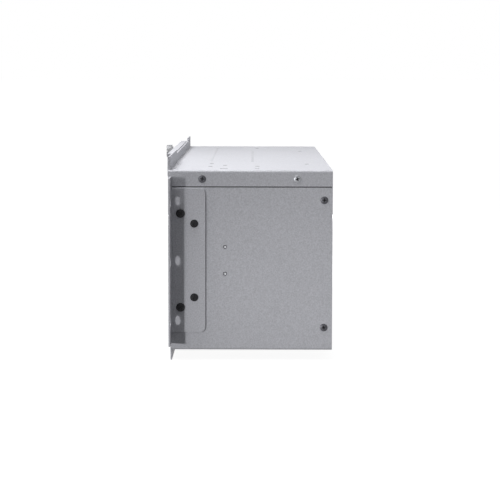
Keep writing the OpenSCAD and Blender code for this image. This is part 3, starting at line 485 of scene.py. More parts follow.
def grained_finish(name, color, contrast, roughness, size, depth, metallic=0.0, stretch=(1, 1, 1)):
    """A finish whose colour, gloss and relief follow one grain."""
    middle = sum(roughness) / 2
    material, tree, shader = blank_finish(name, middle, metallic)
    value = grain(tree, size, 3, stretch)
    dark, light = scaled(color, 1 - contrast), scaled(color, 1 + contrast)
    tone = shades(tree, value, [(0.3, dark), (0.7, light)])
    tree.links.new(tone, shader.inputs["Base Color"])
    tree.links.new(spread(tree, value, *roughness), shader.inputs["Roughness"])
    relief(tree, shader, value, depth)
    return material


# Finishes


def powder_coat():
    """Light grey powder coat with a fine speckle and a slight orange peel."""
    color = (0.5, 0.503, 0.537)
    material, tree, shader = blank_finish("powder_coat", 0.55)
    shader.inputs["Specular IOR Level"].default_value = 0.2
    fine = grain(tree, 0.9, 2)
    speckle = shades(tree, fine, [(0.25, scaled(color, 0.84)), (0.75, scaled(color, 1.16))])
    broad = grain(tree, 60, 2)
    cloud = shades(tree, broad, [(0.3, (0.975,) * 3), (0.7, (1.0,) * 3)])
    tree.links.new(multiply(tree, speckle, cloud), shader.inputs["Base Color"])
    tree.links.new(spread(tree, fine, 0.5, 0.62), shader.inputs["Roughness"])
    relief(tree, shader, grain(tree, 0.7, 2), 0.03, 0.6)
    return material


def zinc_plate():
    """Zinc-plated steel: a satin metal with faint drawn lines."""
    color = (0.5, 0.51, 0.53)
    return grained_finish("zinc_plate", color, 0.12, (0.34, 0.48), 0.8, 0.01, 1.0, (1, 1, 0.15))


def black_oxide():
    material = grained_finish("black_oxide", (0.006, 0.006, 0.008), 0.3, (0.5, 0.65), 0.5, 0.01)
    shader = material.node_tree.nodes["Principled BSDF"]
    shader.inputs["Specular IOR Level"].default_value = 0.25
    return material


def dark_nickel():
    return grained_finish("dark_nickel", (0.07, 0.07, 0.078), 0.25, (0.34, 0.46), 0.5, 0.01, 0.9)


# A lighter copy of the dark nickel: painted highlight on the rear lid screws.
def nickel_painted_highlight():
    return grained_finish("nickel_painted_highlight", (0.25, 0.255, 0.27), 0.2, (0.3, 0.42), 0.5, 0.01, 0.9)


# A darker zinc for the lid's stud ends: painted shade for the pressed marks.
def mark_shade_zinc():
    return grained_finish("mark_shade_zinc", (0.3, 0.305, 0.32), 0.15, (0.45, 0.6), 0.5, 0.01, 0.7)


# Near-black zinc: painted shade for the dark ring round each side rivet.
def zinc_painted_shade():
    return grained_finish("zinc_painted_shade", (0.09, 0.09, 0.1), 0.15, (0.45, 0.6), 0.5, 0.01, 0.7)


# A lighter zinc: painted light for the lit hollow of each side rivet.
def zinc_painted_light():
    return grained_finish("zinc_painted_light", (0.36, 0.365, 0.38), 0.1, (0.4, 0.55), 0.5, 0.01, 0.8)


def satin_zinc():
    return grained_finish("satin_zinc", (0.27, 0.273, 0.284), 0.08, (0.5, 0.62), 0.5, 0.01, 0.3)


def crease_painted_shade():
    """The powder coat along a crease, painted a little darker: painted shade that makes the crease
    show.
    """
    return grained_finish("crease_painted_shade", (0.44, 0.443, 0.473), 0.12, (0.55, 0.65), 0.9, 0.01)


def turned_brass():
    return grained_finish("turned_brass", (0.72, 0.52, 0.22), 0.1, (0.22, 0.34), 0.6, 0.008, 1.0)


def black_moulding():
    """Black moulded plastic with a fine spark-eroded texture."""
    return grained_finish("black_moulding", (0.022, 0.022, 0.024), 0.2, (0.42, 0.55), 0.35, 0.02)


def cream_nylon():
    return grained_finish("cream_nylon", (0.66, 0.6, 0.47), 0.05, (0.4, 0.5), 0.8, 0.01)


def red_moulding():
    return grained_finish("red_moulding", (0.42, 0.02, 0.018), 0.06, (0.28, 0.36), 1.0, 0.008)


def red_jacket():
    return grained_finish("red_jacket", (0.4, 0.025, 0.02), 0.08, (0.36, 0.46), 0.6, 0.01)


def grey_ferrite():
    return grained_finish("grey_ferrite", (0.07, 0.07, 0.075), 0.25, (0.5, 0.7), 0.5, 0.03)


def orange_tape():
    return grained_finish("orange_tape", (0.62, 0.4, 0.06), 0.06, (0.3, 0.4), 1.5, 0.01)


def blue_sleeve():
    return grained_finish("blue_sleeve", (0.02, 0.045, 0.16), 0.1, (0.25, 0.35), 1.5, 0.006)


def white_mark():
    return grained_finish("white_mark", (0.78, 0.78, 0.77), 0.03, (0.5, 0.6), 0.6, 0.004)


def lamp_resin():
    """Tinted, diffused lamp resin that lets light through."""
    material = grained_finish("lamp_resin", (0.3, 0.62, 0.38), 0.05, (0.2, 0.3), 1.0, 0.004)
    shader = material.node_tree.nodes["Principled BSDF"]
    shader.inputs["Transmission Weight"].default_value = 0.35
    shader.inputs["IOR"].default_value = 1.5
    return material


def solder_mask():
    """Green circuit board: copper tracks show as paler lines under the mask."""
    material, tree, shader = blank_finish("solder_mask", 0.32)
    place = tree.nodes.new("ShaderNodeTexCoord")
    mapping = tree.nodes.new("ShaderNodeMapping")
    mapping.inputs["Scale"].default_value = (1, 1, 1.6)
    brick = tree.nodes.new("ShaderNodeTexBrick")
    brick.inputs["Scale"].default_value = 95
    brick.inputs["Mortar Size"].default_value = 0.035
    brick.inputs["Color1"].default_value = (0.012, 0.12, 0.045, 1)
    brick.inputs["Color2"].default_value = (0.016, 0.15, 0.055, 1)
    brick.inputs["Mortar"].default_value = (0.035, 0.26, 0.09, 1)
    tree.links.new(place.outputs["Object"], mapping.inputs["Vector"])
    tree.links.new(mapping.outputs["Vector"], brick.inputs["Vector"])
    weave = shades(tree, grain(tree, 0.6, 1), [(0.3, (0.9,) * 3), (0.7, (1.0,) * 3)])
    tree.links.new(multiply(tree, brick.outputs["Color"], weave), shader.inputs["Base Color"])
    relief(tree, shader, brick.outputs["Fac"], 0.03)
    return material


# Each finish: the function that makes it and the record's slot for it
FINISH_TABLE = {
    "paint": (powder_coat, "painted_steel"),
    "zinc": (zinc_plate, "plated_steel"),
    "black_metal": (black_oxide, "black_screw"),
    "dark_metal": (dark_nickel, "dark_screw"),
    "painted_highlight_metal": (nickel_painted_highlight, "dark_screw"),
    "mark_shade_zinc": (mark_shade_zinc, "plated_steel"),
    "zinc_painted_shade": (zinc_painted_shade, "plated_steel"),
    "zinc_painted_light": (zinc_painted_light, "plated_steel"),
    "satin_zinc": (satin_zinc, "plated_steel"),
    "crease_painted_shade": (crease_painted_shade, "painted_steel"),
    "brass": (turned_brass, "brass"),
    "black": (black_moulding, "black_plastic"),
    "cream": (cream_nylon, "cream_plastic"),
    "red": (red_moulding, "red_plastic"),
    "jacket": (red_jacket, "wire_jacket"),
    "ferrite": (grey_ferrite, "black_plastic"),
    "tape": (orange_tape, "cream_plastic"),
    "sleeve": (blue_sleeve, "black_plastic"),
    "mark": (white_mark, "cream_plastic"),
    "lamp": (lamp_resin, "lamp_plastic"),
    "board": (solder_mask, "green_board"),
}


# Fasteners


def dome(radius, low, high):
    """Profile points of a domed top, from its rim to the middle."""
    steps = 6
    points = []
    for i in range(steps + 1):
        a = math.pi / 2 * i / steps
        points.append((radius * math.cos(a), low + (high - low) * math.sin(a)))
    return points


def cross_cutters(size, width, low, high):
    """Two crossed bars that cut a screw's recess."""
    half, side = size / 2, width / 2
    return [
        block((-half, half), (-side, side), (low, high)),
        block((-side, side), (-half, half), (low, high)),
    ]


def screw(head_d, head_h, length, crown=0.5):
    """A screw along Z, its head's seat at the origin, with a cross recess."""
    r = head_d / 2
    rim = head_h * (1 - crown)
    ease = min(0.15, rim / 3)
    profile = [(0, -length), (SHANK_R - 0.3, -length), (SHANK_R, -length + 0.4), (SHANK_R, 0)]
    profile += [(r - ease, 0), (r, ease), *dome(r, rim, head_h)]
    made = turned(profile, 40)
    low = head_h * RECESS_DEPTH_SHARE
    return combined(made, cross_cutters(0.56 * head_d, 0.15 * head_d, low, head_h + 1))


def recess_shade_floors(head_d, head_h, places):
    """A black cross at the bottom of each screw's cross recess: painted shade that darkens the
    recess.
    """
    low = head_h * RECESS_DEPTH_SHARE
    recess_shades = cross_cutters(0.54 * head_d, 0.135 * head_d, low, low + 0.04)
    return repeated(joined(recess_shades), places)


def on_side(spots, x):
    """Places on both side faces for things made along Z, their heads outwards."""
    places = []
    for side in (1, -1):
        for y, z in spots:
            places.append(at(side * x, y, z) @ Matrix.Rotation(side * math.pi / 2, 4, "Y"))
    return places


def turned_apart(places, seed):
    """The same places with each screw left at a different angle."""
    dice = random.Random(seed)
    return [p @ Matrix.Rotation(dice.uniform(0, FULL_TURN), 4, "Z") for p in places]


def facing_rear(x, y, z):
    return at(x, y, z) @ Matrix.Rotation(-math.pi / 2, 4, "X")


def facing_front(x, y, z):
    return at(x, y, z) @ Matrix.Rotation(math.pi / 2, 4, "X")


def ear_screws():
    large = repeated(screw(*EAR_SCREW), turned_apart(on_side(EAR_SCREW_SPOTS, EAR_OUT_X), 1))
    small_places = turned_apart(on_side(EAR_SMALL_SCREW_SPOTS, EAR_OUT_X), 2)
    small = repeated(screw(*EAR_SMALL_SCREW), small_places)
    show("ear_screw_set", joined([large, small]), "black_metal", stands_for=("ear_screws",))


def lid_screws():
    front, rear = LID_SCREW_SPOTS
    front_places = turned_apart(on_side([front], HALF_W), 8)
    rear_places = [p @ Matrix.Rotation(math.radians(20), 4, "Z") for p in on_side([rear], HALF_W)]
    made = repeated(screw(*LID_SCREW, FLAT_CROWN), front_places)
    show("lid_screw_front_pair", made, "dark_metal", stands_for=("lid_screws",))
    # The rear pair is drawn in a lighter nickel: painted highlight.
    made = repeated(screw(*LID_SCREW, FLAT_CROWN), rear_places)
    show("lid_screw_rear_pair", made, "painted_highlight_metal")
    # Black crosses in the recesses: painted shade.
    recess_shades = recess_shade_floors(*LID_SCREW[:2], front_places + rear_places)
    show("lid_screw_recess_shade", recess_shades, "black_metal")


def corner_screws():
    places = turned_apart(on_side(CORNER_SCREW_SPOTS, HALF_W), 3)
    made = repeated(screw(*CORNER_SCREW, FLAT_CROWN), places)
    show("corner_screw_set", made, "dark_metal", stands_for=("rear_corner_screws",))
    # Black crosses in the recesses: painted shade.
    show("corner_screw_recess_shade", recess_shade_floors(*CORNER_SCREW[:2], places), "black_metal")


def tray_screws():
    spots = [at(side * TRAY_SCREW_X, TRAY_SCREW_Y, TRAY_TOP_Z) for side in (1, -1)]
    made = repeated(screw(*TRAY_SCREW), spots)
    show("tray_screw_set", made, "zinc", stands_for=("tray_screws",))


def backplane_screws():
    front = [facing_front(x, BACKPLANE_FRONT_Y, STANDOFF_Z) for x in STANDOFF_X]
    rear = [facing_rear(x, REAR_Y, STANDOFF_Z) for x in STANDOFF_X]
    made = repeated(screw(*BACKPLANE_SCREW), turned_apart(front + rear, 4))
    show("backplane_screw_set", made, "zinc", stands_for=("backplane_screws",))


def fan_screws():
    seat = REAR_Y + GUARD_T
    places = [facing_rear(x + a, seat, FAN_Z + b) for x in FAN_X for a, b in FAN_CORNERS]
    made = repeated(screw(*FAN_SCREW), turned_apart(places, 5))
    show("fan_screw_set", made, "dark_metal", stands_for=("fan_screws",))


def side_rivets():
    """Blind rivets: a thin rim round a hollow, and a wider tail inside."""
    tail = HALF_W - RIVET_INNER_X
    profile = [(0, -tail - 0.9), (1.5, -tail - 0.9), (1.8, -tail - 0.6), (1.8, -tail), (1.4, -tail)]
    profile += [(1.4, 0.0), (1.36, 0.16), (1.2, 0.24), (0.95, 0.2), (0.95, -0.75), (0, -0.75)]
    places = on_side(RIVET_SPOTS, HALF_W)
    rims = repeated(turned(profile, 32), places)
    # The rims get a near-black zinc, painted shade for the dark ring round each rivet; the cups get
    # a lighter zinc, painted light for the lit hollow.
    show("side_rivet_rims", rims, "zinc_painted_shade", stands_for=("side_rivets",))
    cup = turned([(0, -0.6), (0.94, -0.6), (0.94, 0.18), (0.75, 0.06), (0.4, -0.1), (0, -0.15)], 32)
    show("side_rivet_cups", repeated(cup, places), "zinc_painted_light")


def ground_screw():
    """A brass screw with a hexagon head over a toothed washer."""
    head = turned([(0, 0.8), (3.7, 0.8), (4.0, 1.05), (4.0, 2.7), (3.6, 3.15), (0, 3.15)], 6)
    shank = rod((0, 0, -6), (0, 0, 1), 2)
    washer = turned([(2.08, 0), (4.6, 0), (4.7, 0.4), (4.6, 0.8), (2.08, 0.8)], 36, closed=True)
    cut_head = combined(head, [block((-5, 5), (-0.4, 0.4), (2.3, 4))])
    made = moved(joined([cut_head, shank, washer]), facing_rear(GROUND_X, REAR_Y, FAN_Z))
    show("ground_screw_set", made, "brass", stands_for=("ground_screw",))


def thumbscrew(head_d, head_len, shank_len, teeth):
    """A captive thumbscrew along Z: its seat at the origin, a knurled rim and a slot."""
    r = head_d / 2
    collar = 0.16 * head_len
    profile = [(0, -shank_len), (SHANK_R - 0.3, -shank_len)]
    profile += [(SHANK_R, -shank_len + 0.4), (SHANK_R, 0)]
    profile += [(0.72 * r, 0), (0.72 * r, collar), (r - 0.35, collar), (r, collar + 0.35)]
    profile += [(r, head_len - 0.5), (r - 0.25, head_len - 0.15), (r - 0.6, head_len)]
    profile += [(0.6 * r, head_len), (0.5 * r, head_len - 0.25), (0, head_len - 0.25)]
    bm = turned(profile, teeth * 2)
    step, knurl = FULL_TURN / (teeth * 2), 0.32
    for vert in bm.verts:
        radius = math.hypot(vert.co.x, vert.co.y) / MM
        column = round(math.atan2(vert.co.y, vert.co.x) / step)
        if radius > r - 0.01 and column % 2:
            vert.co.x *= 1 - knurl / r
            vert.co.y *= 1 - knurl / r
    slot = block((-r, r), (-0.45, 0.45), (head_len - 1.1, head_len + 1))
    return combined(bm, [slot])


def lock_thumbscrew():
    place = facing_front(0, LOCK_FRONT_Y - KNOB_AIR, LOCK_SCREW_Z)
    made = moved(thumbscrew(*LOCK_KNOB), place)
    show("lock_knob", made, "satin_zinc", "lock_thumbscrew", ("lock_thumbscrew",), crease=50)


# Sheet metal


def sheet_metal():
    """The folded sheets keep the CAD's shape, with eased edges and powder coat."""
    for node in ("base_pan", "lid", "front_frame", "rear_panel", "rack_ear_left", "rack_ear_right"):
        softened(node, "paint")
    for node in ("lower_guide_tray", "upper_guide_tray"):
        softened(node, "paint")
    softened("lock_bar", "paint", "lock_bar")
    softened("side_brackets", "zinc")
    softened("psu_rails", "zinc")


def lid_marks():
    """The stud ends that show in the lid's pressed marks, in a darker zinc that is painted shade
    for the marks, and its two faint creases in painted shade.
    """
    low, high = TOP_Z - 0.28, TOP_Z + 0.22
    end = turned([(0, low), (1.6, low), (1.6, high - 0.1), (1.4, high), (0, high)], 32)
    places = [at(HALF_W - a * 2 * HALF_W, FRONT_Y + b * LID_DEPTH, 0) for a, b in MARK_SHARES]
    show("lid_stud_ends", repeated(end, places), "mark_shade_zinc")
    tab = block((-0.8, 0.8), (-2.9, 2.9), (low, high), 0.1)
    a, b = SLOT_MARK_SHARES
    place = at(HALF_W - a * 2 * HALF_W, FRONT_Y + b * LID_DEPTH, 0)
    show("lid_tab_end", moved(tab, place), "mark_shade_zinc")
    # The creases are drawn in a darker paint: painted shade along each crease.
    creases = []
    for y, near, far in LID_CREASES:
        x = (HALF_W - far, HALF_W - near)
        creases.append(block(x, (y - 1, y + 1), (TOP_Z - 0.2, TOP_Z + 0.08), 0.07, 2))
    show("lid_creases", joined(creases), "crease_painted_shade")


def seam_shade_strips():
    """A thin black strip in the joint between the lid's flanges and the walls: painted shade that
    darkens the seam.
    """
    strips = []
    for side in (1, -1):
        x = sorted(side * a for a in SEAM_X)
        strips.append(block(x, (SEAM_FRONT_Y, SEAM_REAR_Y), SEAM_Z, 0.1, 1))
    show("seam_shade_strip_set", joined(strips), "black")


# Fans


def fan_frames():
    """Square fan frames: two flanges joined by a round duct, with hub, struts and holes."""
    depth = FAN_REAR_Y - FAN_FRONT_Y
    half = FAN_HALF
    body = block((-half, half), (-half, half), (0, depth))
    round_edges(body, edges_along(body, 2), 3, 4)
    flange = 2.2
    waist = combined(
        block((-half - 1, half + 1), (-half - 1, half + 1), (flange, depth - flange)),
        [rod((0, 0, 0), (0, 0, depth), 19.7, 64)],
    )
    mouth_r, throat = FAN_DUCT_R + 0.7, 1.2
    duct = [(0, -1), (mouth_r, -1), (mouth_r, 0), (FAN_DUCT_R, throat)]
    duct += [(FAN_DUCT_R, depth - throat), (mouth_r, depth), (mouth_r, depth + 1), (0, depth + 1)]
    bore = turned(duct, 64)
    holes = [rod((a, b, -1), (a, b, depth + 1), 1.6) for a, b in FAN_CORNERS]
    shell = combined(body, [waist, bore, *holes])
    hub = turned([(0, 8.5), (7.6, 8.5), (8, 8.9), (8, 9.6), (7.6, 10), (0, 10)], 48)
    post = rod((0, 0, 2.9), (0, 0, 9), 2.2)
    struts = [moved(block((7.5, 19.3), (-1.2, 1.2), (8.5, 10), 0.3), turn) for turn in QUARTERS]
    whole = joined([shell, hub, post, *struts])
    places = [facing_rear(x, FAN_FRONT_Y, FAN_Z) for x in FAN_X]
    show("fan_frame_set", repeated(whole, places), "black", stands_for=("fan_frames",))
    disc = turned([(0, 10.02), (6.4, 10.02), (6.4, 10.06), (0, 10.06)], 48)
    show("fan_hub_labels", repeated(disc, places), "mark")


def fan_blade():
    """One curved blade round Z, thin at its tip and leaning forwards."""
    hub_r, tip_r, depth = 7.4, 17.5, 5.6
    bm = bmesh.new()
    bmesh.ops.create_grid(bm, x_segments=8, y_segments=6, size=0.5)
    for vert in bm.verts:
        chord, span = vert.co.x, vert.co.y + 0.5
        radius = hub_r + span * (tip_r - hub_r)
        angle = math.radians(44) * chord * (1 - 0.12 * span) + math.radians(16) * span
        height = depth * chord + 0.7 * math.cos(math.pi * chord)
        vert.co = Vector((radius * math.cos(angle), radius * math.sin(angle), height)) * MM
    bmesh.ops.solidify(bm, geom=list(bm.faces), thickness=0.8 * MM)
    bmesh.ops.recalc_face_normals(bm, faces=bm.faces)
    return bm


def fan_rotors():
    """A domed hub with seven blades for each fan."""
    middle = (FAN_FRONT_Y + 0.8 + FAN_REAR_Y - 2.3) / 2
    for number, x in enumerate(FAN_X, 1):
        cup = [(0, -3.4), (6.6, -3.4), (7.6, -3.1), (8, -2.4)]
        cup += [(8, 3.4), (6.6, 3.4), (6.6, -2), (0, -2)]
        hub = turned(cup, 48)
        shaft = rod((0, 0, -2.2), (0, 0, 3.4), 1)
        turns = [Matrix.Rotation(FULL_TURN * k / 7, 4, "Z") for k in range(7)]
        whole = joined([hub, shaft, repeated(fan_blade(), turns)])
        made = moved(whole, at(x, middle, FAN_Z) @ Matrix.Rotation(-math.pi / 2, 4, "X"))
        node = f"fan_rotor_{number}"
        show(f"{node}_blades", made, "black", node, (node,), crease=50)


def fan_guards():
    """Wire guards: three rings welded on four spokes that end in eyelets."""
    wire_r = 0.62
    corner = FAN_SCREW_STEP * math.sqrt(2)

    def ring(radius, height):
        points = []
        for i in range(12):
            a = FULL_TURN * i / 12
            points.append((radius + wire_r * math.cos(a), height + wire_r * math.sin(a)))
        return turned(points, 64, closed=True)

    parts = [ring(r, 1.5) for r in (6.4, 12.4, 18.4)]
    for turn in QUARTERS:
        parts.append(moved(rod((6.0, 0, 0.72), (corner - 2.3, 0, 0.72), wire_r, 12), turn))
        parts.append(moved(ring(2.4, 0.8), turn @ at(corner, 0, 0)))
    places = [facing_rear(x, REAR_Y, FAN_Z) for x in FAN_X]
    show("fan_guard_wires", repeated(joined(parts), places), "zinc", stands_for=("fan_guards",))


# Boards inside


def can(radius, height):
    """An electrolytic capacitor along Z with its rolled rim."""
    profile = [(0, 0), (radius, 0), (radius, height * 0.1), (radius - 0.15, height * 0.14)]
    profile += [(radius, height * 0.18), (radius, height - 0.4), (radius - 0.4, height)]
    profile += [(radius - 0.8, height), (radius - 0.9, height - 0.15), (0, height - 0.15)]
    return turned(profile, 32)


def backplane():
    """The backplane with its plugs, and a fuse and a capacitor beside each plug."""
    softened("backplane_board", "board", edge=0.12)
    softened("backplane_standoffs", "brass", edge=0.12)
    softened("bay_plug_blocks", "black", edge=0.3)
    bore = 1.25
    profile = [(bore, 0), (2.75, 0), (2.75, 14.1), (2.55, 14.45), (1.6, 14.45), (bore, 14.2)]
    sleeve = turned(profile, 32, closed=True)
    pin = turned([(0, 0), (0.5, 0), (0.5, 11.5), (0.3, 12), (0, 12)], 16)
    places = []
    for i in range(BAY_COUNT):
        x = BAYS_X0 + BAY_WALL / 2 + (i + 0.5) * BAY_PITCH
        places.append(facing_front(x, PLUG_SEAT_Y, PLUG_Z))
    made = repeated(joined([sleeve, pin]), places)
    show("bay_plug_sleeves", made, "zinc", stands_for=("bay_plugs",))
    beside = [p @ at(8.6, 0, -5.0) for p in places]
    fuse = block((-1.2, 1.2), (-3.6, 3.6), (0, 1.8), 0.35)
    show("bay_fuses", repeated(fuse, beside), "tape")
    below = [p @ at(-9.2, 2, -5.0) for p in places]
    show("bay_capacitors", repeated(can(2.6, 5), below), "sleeve")


def power_board():
    """The board behind the front frame, which joins the modules to the backplane."""
    softened("power_board", "board", edge=0.12)
    softened("power_board_spacers", "zinc", edge=0.12)
    softened("power_sockets", "cream", edge=0.3)
    softened("cable_headers", "cream", edge=0.3)
    spots = [(x, MODULE_Z + rise) for x in POWER_CAN_X for rise in POWER_CAN_RISE]
    places = [facing_rear(x, POWER_CAN_Y, z) for x, z in spots]
    show("power_board_capacitors", repeated(can(4, 8.5), places), "sleeve")


def power_wires():
    """Three wires from header to header, each with a little slack."""
    parts = []
    for k, slack in zip((-1, 0, 1), (0.8, -0.6, 0.5)):
        points = []
        for i in range(13):
            t = i / 12
            bow = slack * math.sin(math.pi * t) ** 2
            y = WIRE_FRONT_Y + t * (WIRE_REAR_Y - WIRE_FRONT_Y)
            points.append((HEADER_X + WIRE_PITCH * k + bow, y, HEADER_Z + 1.2 * bow))
        parts.append(wire(points, 1.2))
    show("power_wire_run", joined(parts), "jacket", stands_for=("power_wires",), crease=60)


def status_lamps():
    places = [facing_rear(x, STATUS_Y, STATUS_Z) for x in STATUS_X]
    made = repeated(turned(LENS, 32), places)
    show("status_lamp_set", made, "lamp", stands_for=("status_lamps",))


# Power modules


def module_inside(name, x):
    """Board, transformer, capacitors and heat sink of one module."""
    softened(f"{name}_board", "board", name, edge=0.12)
    softened(f"{name}_connector", "cream", name, edge=0.2)
    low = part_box(f"{name}_parts")[0] / MM
    core_w = 26.9
    y = (low.y + 4.0, low.y + 4.0 + core_w)
    bottom, top = low.z, low.z + 22
    core = block((x - core_w, x), y, (bottom, top), 0.6)
    show(f"{name}_core", core, "ferrite", name, (f"{name}_parts",))
    winding_x, winding_y = (x - core_w + 3, x - 3), (y[0] - 3.5, y[1] + 3.5)
    winding = block(winding_x, winding_y, (bottom + 3, top - 4), 2.5, 3)
    show(f"{name}_winding", winding, "tape", name)
    cans = [at(x - 22 + 20 * k, y[1] + 12.5, bottom) for k in (0, 1)]
    show(f"{name}_cans", repeated(can(7, 19), cans), "sleeve", name)
    foot = block((x + 17, x + 32), y, (bottom, bottom + 3), 0.4)
    fin_x = [x + 17 + 4.4 * i for i in range(4)]
    fins = [block((a, a + 1.8), y, (bottom + 2, bottom + 20.5), 0.3) for a in fin_x]
    show(f"{name}_heat_sink", joined([foot, *fins]), "black", name)


def module_inlet(name, x):
    """A mains inlet with a keyed mouth and three blades."""
    outer = PLATE_Y + 2
    body = block((-13.5, 13.5), (PLATE_Y - 18, outer), (-10, 10))
    flange = block((-15.3, 15.3), (PLATE_Y, outer), (-11.8, 11.8))
    round_edges(flange, edges_along(flange, 1), 3, 5)
    whole = combined(body, [flange], "UNION")
    mouth = block((-11.5, 11.5), (outer - 16, outer + 1), (-8, 8))
    # The two upper corners are cut off, which keys the plug; the two lower ones are round
    upper = [e for e in edges_along(mouth, 1) if e.verts[0].co.z > 0]
    round_edges(mouth, upper, 4.6, 1)
    lower = [e for e in edges_along(mouth, 1) if e.verts[0].co.z < 0]
    round_edges(mouth, lower, 1.2, 3)
    place = at(x + INLET_X, 0, MODULE_Z)
    made = moved(combined(whole, [mouth]), place)
    piece = show(f"{name}_inlet_body", made, "black", name, (f"{name}_inlet",))
    eased(piece, 0.35, 50)
    blades = [
        block((7 * k - 1, 7 * k + 1), (outer - 17, outer - 5.5), (dz - 2, dz + 2), 0.45, 2)
        for k, dz in ((-1, -2), (0, 2), (1, -2))
    ]
    show(f"{name}_inlet_blades", moved(joined(blades), place), "zinc", name)


def module_switch(name, x):
    """Rocker switch: housing, curved rocker and its two marks."""
    outer = PLATE_Y + 1.4
    body = block((-6.7, 6.7), (112.7, outer), (-9.7, 9.7))
    flange = block((-7.9, 7.9), (PLATE_Y, outer), (-10.9, 10.9))
    round_edges(flange, edges_along(flange, 1), 1.2, 3)
    mouth = block((-4.7, 4.7), (114.7, outer + 1), (-7.7, 7.7))
    holes = rod((-5.9, ROCKER_Y, 0), (5.9, ROCKER_Y, 0), 1.25)
    place = at(x + ROCKER_X, 0, MODULE_Z)
    whole = combined(combined(body, [flange], "UNION"), [mouth, holes])
    show(f"{name}_switch_frame", moved(whole, place), "black", name, (f"{name}_switch_housing",))
    half, dip = 6.8, 1.3
    rocker = block((-4.5, 4.5), (-3, 2.8), (-half, half))
    bmesh.ops.subdivide_edges(rocker, edges=edges_along(rocker, 2), cuts=12, use_grid_fill=True)
    for vert in rocker.verts:
        across = vert.co.z / (half * MM)
        if vert.co.y > 0:
            vert.co.y -= dip * max(0, 1 - abs(across)) ** 0.8 * MM
        else:
            vert.co.z *= 0.72
    sharp = [e for e in rocker.edges if e.is_manifold and e.calc_face_angle() > math.radians(45)]
    round_edges(rocker, sharp, 0.35, 3)
    pin = rod((-5.7, 0, 0), (5.7, 0, 0), 1.2)
    tilt = at(x + ROCKER_X, ROCKER_Y, MODULE_Z) @ Matrix.Rotation(math.radians(10), 4, "X")
    body_name = f"{name}_rocker"
    show(f"{body_name}_cap", moved(joined([rocker, pin]), tilt), "red", body_name, (body_name,))
    on_mark = block((-0.3, 0.3), (2.17, 2.32), (3.1, 5.2), 0.05)
    ring = turned([(0.62, 0), (1.05, 0), (1.05, 0.15), (0.62, 0.15)], 32, closed=True)
    off_mark = moved(ring, facing_rear(0, 2.17, -4.1))
    show(f"{name}_rocker_marks", moved(joined([on_mark, off_mark]), tilt), "mark", body_name)


def module_lamp(name, x):
    lens = turned([(r, -h) for r, h in LENS], 32)
    made = moved(lens, facing_rear(x + LAMP_X, PLATE_Y, MODULE_Z))
    show(f"{name}_lamp_lens", made, "lamp", name, (f"{name}_lamp",))


def module_bail(name, x):
    """A bail handle of round wire with bent corners."""
    arm, half, pin = 34, 38, 5.5
    ends = [(-half - pin, BAIL_Z), (-half, BAIL_Z), (-half, BAIL_Z - arm)]
    ends += [(half, BAIL_Z - arm), (half, BAIL_Z), (half + pin, BAIL_Z)]
    route = [(x + dx, BAIL_Y, z) for dx, z in ends]
    made = wire(bent_route(route, 2.6), 1.5, 4)
    show(f"{name}_bail_wire", made, "zinc", f"{name}_bail", (f"{name}_bail",), crease=60)


def module_thumbscrews(name, x):
    for side, word in ((-1, "left"), (1, "right")):
        body = f"{name}_screw_{word}"
        place = facing_rear(x + side * MODULE_SCREW_X, PLATE_Y + KNOB_AIR, MODULE_Z)
        made = moved(thumbscrew(*MODULE_KNOB), place)
        show(f"{body}_knob", made, "zinc", body, (body,), crease=50)


def power_modules():
    for name, x in MODULE_X.items():
        softened(f"{name}_case", "zinc", name)
        softened(f"{name}_cover", "zinc", name)
        for make in (module_inside, module_inlet, module_switch, module_lamp, module_bail):
            make(name, x)
        module_thumbscrews(name, x)


# Studio


def seen_directly(tree):
    """1 for rays from the camera, a reflection or a clear piece, and 0 for the rest."""
    rays = tree.nodes.new("ShaderNodeLightPath")
    first = tree.nodes.new("ShaderNodeMath")
    first.operation = "MAXIMUM"
    both = tree.nodes.new("ShaderNodeMath")
    both.operation = "MAXIMUM"
    tree.links.new(rays.outputs["Is Camera Ray"], first.inputs[0])
    tree.links.new(rays.outputs["Is Glossy Ray"], first.inputs[1])
    tree.links.new(first.outputs[0], both.inputs[0])
    tree.links.new(rays.outputs["Is Transmission Ray"], both.inputs[1])
    return both.outputs[0]


def surroundings():
    """A white room for the eye that gives the object a plain, even light."""
    world = bpy.data.worlds.new("studio")
    bpy.context.scene.world = world
    world.use_nodes = True
    tree = world.node_tree
    ambient = tree.nodes["Background"]
    ambient.inputs["Color"].default_value = (0.97, 0.98, 1.0, 1)
    ambient.inputs["Strength"].default_value = AMBIENT
    white = tree.nodes.new("ShaderNodeBackground")
    white.inputs["Color"].default_value = (1, 1, 1, 1)
    mix = tree.nodes.new("ShaderNodeMixShader")
    tree.links.new(seen_directly(tree), mix.inputs["Fac"])
    tree.links.new(ambient.outputs["Background"], mix.inputs[1])
    tree.links.new(white.outputs["Background"], mix.inputs[2])
    tree.links.new(mix.outputs["Shader"], tree.nodes["World Output"].inputs["Surface"])


